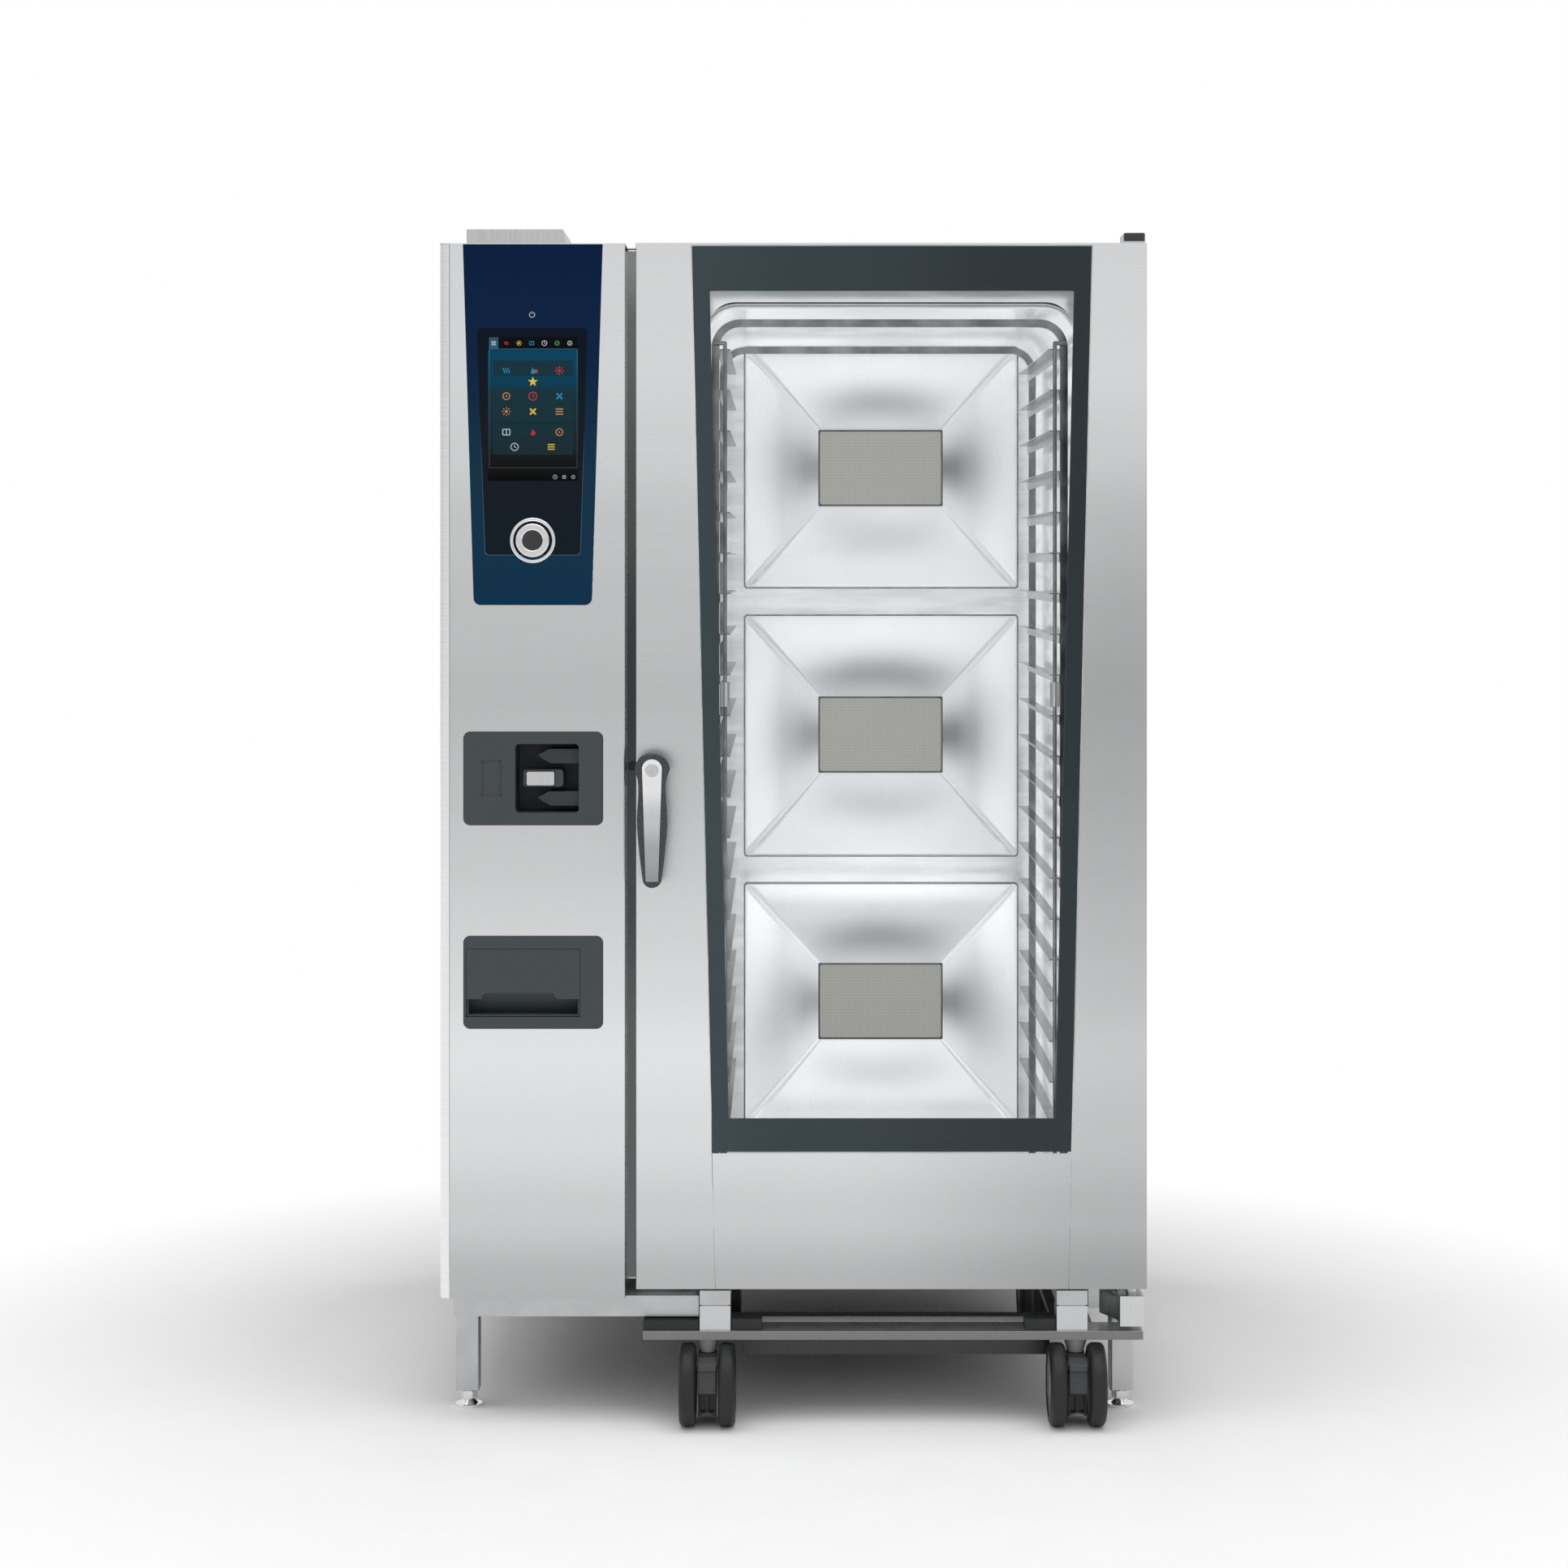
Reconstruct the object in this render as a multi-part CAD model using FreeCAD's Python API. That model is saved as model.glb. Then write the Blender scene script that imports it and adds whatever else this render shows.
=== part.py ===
"""Floor-standing combi steamer oven with a mobile oven rack: 20 levels of 2/1 gastronorm.

Frame: millimetres, +Z up, the door faces -Y, origin on the floor under the centre of the overall envelope.
Every physical piece is one solid in its own node; identical pieces share a node as separate solids.
"""
import FreeCAD, Part
import math
import os
from FreeCAD import Vector as V

# ---------------------------------------------------------------- driving dimensions
WIDTH = 1082.0            # casing, side to side
DEPTH = 1117.0            # back panel to handle front
CASING_TOP = 1807.0       # floor to casing top
HANDLE_REACH = 62.0       # handle front ahead of the door front
SHEET = 1.5               # casing sheet thickness
COVER_W = 284.2           # technical compartment, side to side
DOOR_GAP = 16.1           # slot between compartment cover and door
DOOR_T = 72.5             # door thickness
DOOR_CLEAR = 12.0         # door back to cabinet front face
DOOR_BOTTOM = 207.6
COVER_BOTTOM = 192.7
BASE_BOTTOM = 160.0
CAVITY_X = 151.0          # centre plane of the cavity, the door glass and the rack
CAVITY_W = 574.0
CAVITY_FLOOR = 225.0
CAVITY_TOP = 1712.0
CAVITY_BACK = 420.0
CAVITY_R = 50.0
BAFFLE_Y = 300.0
LEVELS = 20
LEVEL_PITCH = 63.5
FIRST_LEVEL = 445.0
RACK_FRONT = -395.0
RACK_BACK = 275.0
LADDER_X = 272.0          # ladder centre line from the cavity's centre plane
HOOP_TOP = CAVITY_TOP - 14.0   # top of the rack's hoops, just under the chamber's ceiling
WHEEL_R = 62.5
FAN_R = 165.0
RUN = 0.05                # radial running clearance of pins and shafts

# ---------------------------------------------------------------- derived places
X_LEFT, X_RIGHT = -WIDTH / 2, WIDTH / 2
Y_BACK = DEPTH / 2                           # tips of the service connections
CASING_BACK = Y_BACK - 22.0
Y_FRONT = -DEPTH / 2 + HANDLE_REACH          # front face of door and cover
DOOR_BACK = Y_FRONT + DOOR_T
CABINET_FRONT = DOOR_BACK + DOOR_CLEAR
COVER_RIGHT = X_LEFT + COVER_W
DOOR_LEFT = COVER_RIGHT + DOOR_GAP
SIDE_LIP = 15.0                              # side panel's rounded front edge
COVER_LEFT = X_LEFT + SIDE_LIP
CAVITY_LEFT, CAVITY_RIGHT = CAVITY_X - CAVITY_W / 2, CAVITY_X + CAVITY_W / 2
HINGE_X, HINGE_Y = 520.0, Y_FRONT + 36.5
LATCH_X, LATCH_Y, LATCH_Z = -213.5, DOOR_BACK - 20.0, 1004.0
ARM_X = (CAVITY_X - 270.5, CAVITY_X + 276.0)   # arms that carry the rack from below
ARM_BACK = -362.0
DIAL_X, DIAL_Z = -398.0, 1352.0
CASTER_X = (CAVITY_X - 282.0, CAVITY_X + 282.0)
CASTER_Y = (-476.0, 170.0)
PEDAL_PIN = (-26.0, 95.0)                    # brake pedal's pin: offset from the swivel axis, height
FLAP_PIN_X, FLAP_PIN_Y = -473.3, Y_FRONT + 0.5
LEVER_PIN_X, LEVER_PIN_Y = -368.5, Y_FRONT + 13.5
TRAIL = 20.0                                 # wheel axle behind the swivel axis
VENT_X, VENT_Y = -450.0, -100.0
INLET_X = (-430.0, -360.0)
DRAIN_X, DRAIN_Z = -60.0, 222.0
FAN_Z = (1487.0, 1012.0, 537.0)
PANEL_W, PANEL_H = 484.0, 427.0
BAFFLE_X = 158.0
GRILLE_W, GRILLE_H = 218.0, 132.0
LEG_W = 36.0
LEG_CENTRES = [(-507.0, -380.0), (512.0, -380.0), (-507.0, 500.0), (512.0, 500.0)]

# front panel of the technical compartment: trapezoid glass and the two modules below it
GLASS_TOP, GLASS_FOOT = 1804.5, 1253.6
GLASS_HALF_TOP, GLASS_HALF_FOOT = 106.5, 90.0
MODULE_L, MODULE_R = -503.9, -290.7
SHOWER_MODULE = (916.9, 1059.6)
CARE_MODULE = (605.7, 747.4)
MODULE_RADIUS = 10.7

# door window: the pane is a trapezoid, wider at the top
PANE_TOP, PANE_FOOT = 1803.0, 416.0
PANE_HALF_TOP, PANE_HALF_FOOT = 306.5, 275.0

NODES = {}


# ---------------------------------------------------------------- shape helpers
def box(x0, x1, y0, y1, z0, z1):
    return Part.makeBox(x1 - x0, y1 - y0, z1 - z0, V(x0, y0, z0))


def cylinder(radius, start, direction, length):
    return Part.makeCylinder(radius, length, V(*start), V(*direction))


def rounded_outline(u0, u1, v0, v1, radius, place):
    """Closed wire of a rectangle with round corners; place maps (u, v) to a 3-D point."""
    k = radius * (1 - math.sqrt(0.5))
    corners = [
        ((u0 + radius, v0), (u1 - radius, v0), (u1 - k, v0 + k), (u1, v0 + radius)),
        ((u1, v0 + radius), (u1, v1 - radius), (u1 - k, v1 - k), (u1 - radius, v1)),
        ((u1 - radius, v1), (u0 + radius, v1), (u0 + k, v1 - k), (u0, v1 - radius)),
        ((u0, v1 - radius), (u0, v0 + radius), (u0 + k, v0 + k), (u0 + radius, v0)),
    ]
    edges = []
    for a, b, middle, c in corners:
        edges.append(Part.makeLine(place(*a), place(*b)))
        edges.append(Part.Arc(place(*b), place(*middle), place(*c)).toShape())
    return Part.Wire(edges)


def rounded_y(x0, x1, y0, y1, z0, z1, radius):
    """Block whose corners are round when seen from the front."""
    wire = rounded_outline(x0, x1, z0, z1, radius, lambda u, v: V(u, y0, v))
    return Part.Face(wire).extrude(V(0, y1 - y0, 0))


def rounded_z(x0, x1, y0, y1, z0, z1, radius):
    """Block whose corners are round when seen from above."""
    wire = rounded_outline(x0, x1, y0, y1, radius, lambda u, v: V(u, v, z0))
    return Part.Face(wire).extrude(V(0, 0, z1 - z0))


def prism_y(points, y0, y1):
    """Block whose outline is a list of (x, z) points."""
    wire = Part.makePolygon([V(x, y0, z) for x, z in points + points[:1]])
    return Part.Face(wire).extrude(V(0, y1 - y0, 0))


def prism_z(points, z0, z1):
    wire = Part.makePolygon([V(x, y, z0) for x, y in points + points[:1]])
    return Part.Face(wire).extrude(V(0, 0, z1 - z0))


def prism_x(points, x0, x1):
    """Block whose outline is a list of (y, z) points."""
    wire = Part.makePolygon([V(x0, y, z) for y, z in points + points[:1]])
    return Part.Face(wire).extrude(V(x1 - x0, 0, 0))


def trapezoid(centre, half_foot, half_top, foot, top):
    return [(centre - half_foot, foot), (centre + half_foot, foot),
            (centre + half_top, top), (centre - half_top, top)]


def fuse(shapes):
    return shapes[0].multiFuse(shapes[1:]).removeSplitter() if len(shapes) > 1 else shapes[0]


def cut(shape, tools):
    return shape.cut(Part.makeCompound(tools))


def soften(shape, radius, pick):
    """Rounds the edges that pick(edge) chooses."""
    return shape.makeFillet(radius, [e for e in shape.Edges if pick(e)])


def runs_along(edge, axis):
    ends = [v.Point for v in edge.Vertexes]
    if len(ends) < 2:
        return False
    d = (ends[1] - ends[0]).normalize()
    return abs(getattr(d, axis)) > 0.999


def add(name, *shapes):
    """Stores a node: one solid, or a group of separate solids."""
    solids = [s for shape in shapes for s in shape.Solids]
    NODES[name] = solids[0] if len(solids) == 1 else Part.makeCompound(solids)


# ---------------------------------------------------------------- base: frame, legs, feet
def base_frame():
    """Welded box sections under the casing, open in the middle so that the rack's base can roll in."""
    wall, height = 2.0, COVER_BOTTOM - 1.0
    left_in, right_in = CAVITY_X - 296.0, CAVITY_X + 308.0

    def tube(x0, x1, y0, y1):
        outer = box(x0, x1, y0, y1, BASE_BOTTOM, height)
        return outer.cut(box(x0 + wall, x1 - wall, y0 + wall, y1 - wall, BASE_BOTTOM + wall, height - wall))

    parts = [
        tube(-521.0, left_in, -470.0, -350.0),
        tube(-521.0, -471.0, -350.0, 470.0),
        tube(left_in - 50.0, left_in, -350.0, 470.0),
        tube(right_in, 529.0, CABINET_FRONT, 470.0),
        tube(-521.0, 529.0, 470.0, 530.0),
    ]
    add("base_frame", fuse(parts))


def legs_and_feet():
    legs, feet = [], []
    for x, y in LEG_CENTRES:
        half = LEG_W / 2
        leg = rounded_z(x - half, x + half, y - half, y + half, 28.0, BASE_BOTTOM, 4.0)
        inside = rounded_z(x - half + 2, x + half - 2, y - half + 2, y + half - 2, 34.0, BASE_BOTTOM - 2, 2.0)
        bore = cylinder(8.0, (x, y, 20.0), (0, 0, 1), 20.0)
        legs.append(leg.cut(inside).cut(bore))
        disc = cylinder(21.0, (x, y, 0), (0, 0, 1), 5.0)
        cone = Part.makeCone(15.0, 9.0, 7.0, V(x, y, 5.0), V(0, 0, 1))
        stud = cylinder(7.9, (x, y, 10.0), (0, 0, 1), 55.0)
        nut = prism_z([(x + 14 * math.cos(a), y + 14 * math.sin(a))
                       for a in (math.radians(60 * i) for i in range(6))], 14.0, 25.0)
        feet.append(fuse([disc, cone, stud, nut]))
    add("legs", *legs)
    add("levelling_feet", *feet)


# ---------------------------------------------------------------- casing panels
def casing_panels():
    lip_r = 12.0
    # left: flat side whose front edge bends round to meet the compartment cover
    front = Y_FRONT + 3.0
    outer = rounded_z(X_LEFT, X_LEFT + 40, front, CASING_BACK - 2.0, COVER_BOTTOM, CASING_TOP - 2.0, lip_r)
    inner = rounded_z(X_LEFT + SHEET, X_LEFT + 60, front + SHEET, CASING_BACK + 5.0,
                      COVER_BOTTOM - 1, CASING_TOP, lip_r - SHEET)
    side = outer.cut(inner).cut(box(COVER_LEFT, 0, front - 5, front + 100, COVER_BOTTOM - 1, CASING_TOP))
    side = side.common(box(X_LEFT - 1, COVER_LEFT, front - 1, CASING_BACK, COVER_BOTTOM, CASING_TOP))
    add("left_side_panel", max(side.Solids, key=lambda s: s.Volume))

    # right: flat sheet with a front and a back return
    y0, y1 = CABINET_FRONT, CASING_BACK - 2.0
    flat = box(X_RIGHT - SHEET, X_RIGHT, y0, y1, COVER_BOTTOM, CASING_TOP - 2.0)
    front_return = box(X_RIGHT - 20, X_RIGHT, y0, y0 + SHEET, COVER_BOTTOM, CASING_TOP - 2.0)
    panel = fuse([flat, front_return])
    panel = soften(panel, 1.2, lambda e: runs_along(e, "z") and e.BoundBox.XMin > X_RIGHT - 0.1
                   and e.BoundBox.YMax < y0 + 0.1)
    add("right_side_panel", panel)

    # top: L-shaped, it covers the compartment and stops behind the door
    z0 = CASING_TOP - SHEET
    outline = [(X_LEFT, Y_FRONT + 8), (COVER_RIGHT, Y_FRONT + 8), (COVER_RIGHT, CABINET_FRONT),
               (X_RIGHT, CABINET_FRONT), (X_RIGHT, CASING_BACK - 2.0), (X_LEFT, CASING_BACK - 2.0)]
    top = prism_z(outline, z0, CASING_TOP)
    top = top.cut(cylinder(32.0, (VENT_X, VENT_Y, z0 - 5), (0, 0, 1), 20))
    add("top_cover", top)

    # back: sheet with rows of cooling slots and holes for the connections
    back = box(X_LEFT, X_RIGHT, CASING_BACK - SHEET, CASING_BACK, COVER_BOTTOM, CASING_TOP)
    slots = []
    for row in range(12):
        for column in range(3):
            x0, z = -480.0 + column * 78.0, 1120.0 + row * 22.0
            slots.append(rounded_y(x0, x0 + 62, CASING_BACK - 5, CASING_BACK + 5, z, z + 7, 3.4))
    slots += [cylinder(16.0, (x, CASING_BACK - 8, 260.0), (0, 1, 0), 20) for x in INLET_X]
    slots.append(cylinder(28.0, (DRAIN_X, CASING_BACK - 8, DRAIN_Z), (0, 1, 0), 20))
    add("rear_panel", cut(back, slots))


def vent_stack():
    """Exhaust hood on the casing top, welded to the pipe that comes from the chamber's left wall."""
    z0, z1 = CASING_TOP + 0.2, 1858.0
    y0, y1 = -200.0, 0.0
    shell = prism_y([(-528.0, z0), (-360.0, z0), (-372.0, z1), (-528.0, z1)], y0, y1)
    inside = prism_y([(-526.5, z0 - 5), (-362.3, z0 - 5), (-373.7, z1 - SHEET), (-526.5, z1 - SHEET)],
                     y0 + SHEET, y1 - SHEET)
    riser = cylinder(30.5, (VENT_X, VENT_Y, 1628.0), (0, 0, 1), z1 - 1628.0)
    branch = cylinder(30.5, (VENT_X, VENT_Y, 1660.0), (1, 0, 0), CAVITY_LEFT - 2.5 - VENT_X)
    riser_bore = cylinder(29.0, (VENT_X, VENT_Y, 1630.0), (0, 0, 1), 300.0)
    branch_bore = cylinder(29.0, (VENT_X, VENT_Y, 1660.0), (1, 0, 0), CAVITY_LEFT - VENT_X + 5)
    add("vent_stack", cut(fuse([shell.cut(inside), riser, branch]), [riser_bore, branch_bore]))


# ---------------------------------------------------------------- compartment front
def front_cover():
    """Sheet front of the technical compartment, with openings for the control glass and two modules."""
    x0, x1 = COVER_LEFT + 0.6, COVER_RIGHT
    depth = 70.0
    outer = rounded_z(x0, x1, Y_FRONT, Y_FRONT + depth, COVER_BOTTOM, CASING_TOP - 1.0, 2.5)
    inner = box(x0 + SHEET, x1 - SHEET, Y_FRONT + SHEET, Y_FRONT + depth + 5,
                COVER_BOTTOM + SHEET, CASING_TOP - 10.0)
    shell = outer.cut(inner)
    # the top edge stays open where the casing top sheet lies on it
    z0 = CASING_TOP - 11.0
    shell = shell.cut(box(x0 - 1, x1 + 1, Y_FRONT + 7.5, Y_FRONT + depth + 1, z0, CASING_TOP + 1))
    shell = shell.cut(box(x0 + 2, x1 - 2, Y_FRONT + SHEET, Y_FRONT + 8, z0, CASING_TOP - 2.5))
    gap = 0.4
    glass = trapezoid(DIAL_X, GLASS_HALF_FOOT + gap, GLASS_HALF_TOP + gap, GLASS_FOOT - gap, GLASS_TOP + gap)
    openings = [prism_y(glass, Y_FRONT - 5, Y_FRONT + 5)]
    for low, high in (SHOWER_MODULE, CARE_MODULE):
        openings.append(rounded_y(MODULE_L - gap, MODULE_R + gap, Y_FRONT - 5, Y_FRONT + 5,
                                  low - gap, high + gap, MODULE_RADIUS))
    shell = cut(shell, openings)
    add("front_cover", max(shell.Solids, key=lambda s: s.Volume))


def control_panel():
    """Tapered glass with a shallow darker field, the display behind it, and the push-and-turn dial."""
    y0 = Y_FRONT - 0.8
    glass = prism_y(trapezoid(DIAL_X, GLASS_HALF_FOOT, GLASS_HALF_TOP, GLASS_FOOT, GLASS_TOP), y0, y0 + 6.0)
    glass = soften(glass, 9.0, lambda e: runs_along(e, "y") and e.BoundBox.ZMax < GLASS_FOOT + 1)
    glass = glass.cut(cylinder(27.0, (DIAL_X, y0 - 5, DIAL_Z), (0, 1, 0), 20))
    add("control_glass", glass)

    screen = box(-466.5, -328.8, y0 + 6.05, y0 + 9.5, 1442.0, 1661.0)
    add("touch_display", screen)

    # dial: fixed outer bezel, turning ring, push button in the middle
    def ring(r_out, r_in, y_front, y_back):
        body = cylinder(r_out, (DIAL_X, y_front, DIAL_Z), (0, 1, 0), y_back - y_front)
        return body.cut(cylinder(r_in, (DIAL_X, y_front - 1, DIAL_Z), (0, 1, 0), y_back - y_front + 2))

    bezel = ring(34.8, 29.5, y0 - 3.0, y0 - 0.02)
    bezel = soften(bezel, 1.4, lambda e: e.BoundBox.YMax < y0 - 2.9)
    add("dial_bezel", bezel)
    turning = ring(25.7, 15.3, y0 - 9.0, y0 + 4.0)
    turning = soften(turning, 2.0, lambda e: e.BoundBox.YMax < y0 - 8.9)
    add("dial_ring", turning)
    button = cylinder(15.3 - RUN * 2, (DIAL_X, y0 - 8.0, DIAL_Z), (0, 1, 0), 14.0)
    button = soften(button, 1.2, lambda e: e.BoundBox.YMax < y0 - 7.9)
    flange = cylinder(26.0, (DIAL_X, y0 + 6.5, DIAL_Z), (0, 1, 0), 2.0)
    stem = cylinder(5.0, (DIAL_X, y0 + 6.0, DIAL_Z), (0, 1, 0), 40.0)
    core = cylinder(12.0, (DIAL_X, y0 + 5.9, DIAL_Z), (0, 1, 0), 1.0)
    add("dial_button", fuse([button, core, flange, stem]))


def shower_module():
    """Hand shower in its recess, beside the flap over the service socket."""
    low, high = SHOWER_MODULE
    x0, x1, z0, z1 = -424.8, -327.6, 935.9, 1041.0        # recess
    deep = 78.0
    plate = rounded_y(MODULE_L, MODULE_R, Y_FRONT - 1.0, Y_FRONT + 5.0, low, high, MODULE_RADIUS)
    well = rounded_y(x0 - 3, x1 + 3, Y_FRONT + 4.0, Y_FRONT + deep + 3, z0 - 3, z1 + 3, 6.0)
    hollow = rounded_y(x0, x1, Y_FRONT - 5, Y_FRONT + deep, z0, z1, 6.0)
    flap_well = box(-476.2, -446.5, Y_FRONT - 5, Y_FRONT + 3.1, 961.7, 1015.4)
    flap_bore = cylinder(0.9 + RUN, (FLAP_PIN_X, FLAP_PIN_Y, 960.4), (0, 0, 1), 56.4)
    socket = box(-468.0, -454.0, Y_FRONT, Y_FRONT + 20.0, 980.0, 998.0)
    hose_hole = cylinder(11.0, (-380.0, Y_FRONT + deep - 5, 988.0), (0, 1, 0), 20)
    body = fuse([plate, well]).cut(hollow)
    body = cut(body, [flap_well, flap_bore, socket, hose_hole])
    # two guide fins, pointed at the left, above and below the shower head
    for a, b in ((1010.0, 1032.0), (945.0, 967.0)):
        middle = (a + b) / 2
        fin = prism_y([(x1 + 1, a), (x1 + 1, b), (-375.0, b), (-392.0, middle + 2),
                       (-385.0, middle - 4), (-372.0, a)], Y_FRONT + 22, Y_FRONT + deep + 1)
        body = body.fuse(fin)
    add("shower_module", body.removeSplitter())

    flap = box(-475.2, -447.0, Y_FRONT - 1.0, Y_FRONT + 2.0, 962.2, 1014.9)
    flap = soften(flap, 2.4, lambda e: runs_along(e, "y") and e.BoundBox.XMin > -448)
    pull = box(-450.5, -448.0, Y_FRONT - 1.6, Y_FRONT - 0.5, 975.0, 1002.0)
    pin = cylinder(0.9, (FLAP_PIN_X, FLAP_PIN_Y, 960.6), (0, 0, 1), 56.0)
    add("socket_flap", fuse([flap, pull, pin]))

    head = rounded_y(-413.0, -352.0, Y_FRONT + 8.0, Y_FRONT + 60.0, 975.0, 1001.0, 5.0)
    head = head.cut(box(-409.2, -364.8, Y_FRONT, Y_FRONT + 22.0, 976.9, 998.9))
    head = head.cut(cylinder(1.5 + RUN, (LEVER_PIN_X, LEVER_PIN_Y, 975.5), (0, 0, 1), 25.0))
    neck = cylinder(9.0, (-380.0, Y_FRONT + 58.0, 988.0), (0, 1, 0), 14)
    add("shower_head", fuse([head, neck]))
    lever = rounded_y(-407.8, -365.5, Y_FRONT + 4.0, Y_FRONT + 17.0, 977.4, 998.2, 2.5)
    add("shower_lever", fuse([lever, cylinder(1.5, (LEVER_PIN_X, LEVER_PIN_Y, 975.7), (0, 0, 1), 24.6)]))


def care_module():
    """Drawer for cleaning and descaling tablets, in its own moulded frame."""
    low, high = CARE_MODULE
    x0, x1, z0, z1 = -499.7, -326.3, 624.1, 727.3
    length = 190.0
    plate = rounded_y(MODULE_L, MODULE_R, Y_FRONT - 1.0, Y_FRONT + 5.0, low, high, MODULE_RADIUS)
    sleeve = box(x0 - 3, x1 + 3, Y_FRONT + 4, Y_FRONT + length + 8, z0 - 3, z1 + 3)
    hollow = box(x0 - 0.6, x1 + 0.6, Y_FRONT - 5, Y_FRONT + length + 5, z0 - 0.6, z1 + 0.6)
    add("care_frame", fuse([plate, sleeve]).cut(hollow))

    front = box(x0, x1, Y_FRONT - 1.0, Y_FRONT + 32.0, z0, z1)
    # grip recess along the foot of the drawer front, under a notched skirt
    skirt = prism_y([(x0 - 1, z0 - 1), (x1 + 1, z0 - 1), (x1 + 1, 651.0), (-361.0, 651.0), (-367.0, 660.5),
                     (-470.0, 660.5), (-476.0, 656.0), (-476.0, 651.0), (x0 - 1, 651.0)],
                    Y_FRONT - 2, Y_FRONT + 3.0)
    scoop = prism_x([(Y_FRONT + 2.5, z0 + 3), (Y_FRONT + 26.0, z0 + 3), (Y_FRONT + 8.0, z0 + 36),
                     (Y_FRONT + 2.5, z0 + 40)], x0 + 3, x1 - 3)
    front = front.cut(skirt).cut(scoop)
    tray = box(x0 + 2, x1 - 2, Y_FRONT + 30.0, Y_FRONT + length, z0, z1 - 22)
    tray = tray.cut(box(x0 + 4.5, x1 - 4.5, Y_FRONT + 32.5, Y_FRONT + length - 2.5, z0 + 2.5, z1))
    add("care_drawer", fuse([front, tray]))


# ---------------------------------------------------------------- cabinet front and cooking chamber
def ring_path(offset, y):
    """Rounded rectangle round the chamber mouth, offset outwards."""
    return rounded_outline(CAVITY_LEFT - offset, CAVITY_RIGHT + offset,
                           CAVITY_FLOOR - offset, CAVITY_TOP + offset,
                           CAVITY_R + offset, lambda u, v: V(u, y, v))


def door_gasket():
    """Soft ring outside the chamber's rim, just short of the door's back."""
    y = CABINET_FRONT
    outer = Part.Face(ring_path(19.0, y - 11.7)).extrude(V(0, 11.6, 0))
    inner = Part.Face(ring_path(8.5, y - 13.0)).extrude(V(0, 14.0, 0))
    gasket = outer.cut(inner)
    add("door_gasket", gasket.makeFillet(3.5, [e for e in gasket.Edges if e.BoundBox.YMax < y - 11.6]))


def cooking_chamber():
    """Welded chamber: front plate, polished rim, liner with round corners, and the strike for the latch."""
    t, y = 2.0, CABINET_FRONT
    plate = box(COVER_RIGHT + 0.5, X_RIGHT - 21.0, y, y + 3.0, COVER_BOTTOM + 14, CASING_TOP - 3.0)
    rim = Part.Face(ring_path(7.0, y - 6.0)).extrude(V(0, 7.0, 0))
    rim = rim.makeFillet(5.0, [e for e in rim.Edges if e.BoundBox.YMax < y - 5.9])
    liner = rounded_y(CAVITY_LEFT - t, CAVITY_RIGHT + t, y, CAVITY_BACK + t, CAVITY_FLOOR - t, CAVITY_TOP + t,
                      CAVITY_R + t)
    strike = box(COVER_RIGHT + 1.0, DOOR_LEFT - 1.5, DOOR_BACK - 7.6, y + 1.0, LATCH_Z - 30, LATCH_Z + 30)
    body = fuse([plate, rim, liner, strike])
    hollow = rounded_y(CAVITY_LEFT, CAVITY_RIGHT, y - 20, CAVITY_BACK, CAVITY_FLOOR, CAVITY_TOP, CAVITY_R)
    holes = [hollow]
    holes += [cylinder(14.0, (BAFFLE_X, CAVITY_BACK - 10, z), (0, 1, 0), 30) for z in FAN_Z]
    holes.append(cylinder(31.0, (CAVITY_LEFT - 20, VENT_Y, 1660.0), (1, 0, 0), 40))
    holes.append(cylinder(12.5, (CAVITY_LEFT - 20, 360.0, 768.0), (1, 0, 0), 40))
    holes.append(cylinder(25.5, (CAVITY_X, 60.0, CAVITY_FLOOR - 20), (0, 0, 1), 40))
    for x in ARM_X:
        holes.append(box(x - 30, x + 30, y - 20, ARM_BACK + 12, CAVITY_FLOOR - 60, CAVITY_FLOOR + 60))
    add("cooking_chamber", cut(body, holes))


def insulation():
    """Mineral wool slabs round the chamber."""
    wool, gap = 36.0, 2.6
    left, right = CAVITY_LEFT - gap, CAVITY_RIGHT + gap
    low, high = CAVITY_FLOOR - gap, CAVITY_TOP + gap
    y0, y1 = CABINET_FRONT + 60.0, CAVITY_BACK + gap
    slabs = [
        box(left - wool, left, y0, y1, low + 12, high - 12),
        box(right, right + wool, y0, y1, low + 12, high - 12),
        box(left - wool, right + wool, y0, y1, high, high + wool),
        box(left - wool, right + wool, y1 + 0.2, y1 + 28, low + 12, high + wool),
        box(left - wool, right + wool, ARM_BACK + 14, y1, low - 20, low),
    ]
    tools = [cylinder(70.0, (BAFFLE_X, CAVITY_BACK, z), (0, 1, 0), 60) for z in FAN_Z]
    tools.append(cylinder(33.0, (CAVITY_LEFT - 80, VENT_Y, 1660.0), (1, 0, 0), 90))
    tools.append(cylinder(27.0, (CAVITY_X, 60.0, CAVITY_FLOOR - 60), (0, 0, 1), 70))
    tools.append(cylinder(12.5, (CAVITY_LEFT - 80, 360.0, 768.0), (1, 0, 0), 90))
    add("insulation", *[cut(slab, tools) for slab in slabs])


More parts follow.
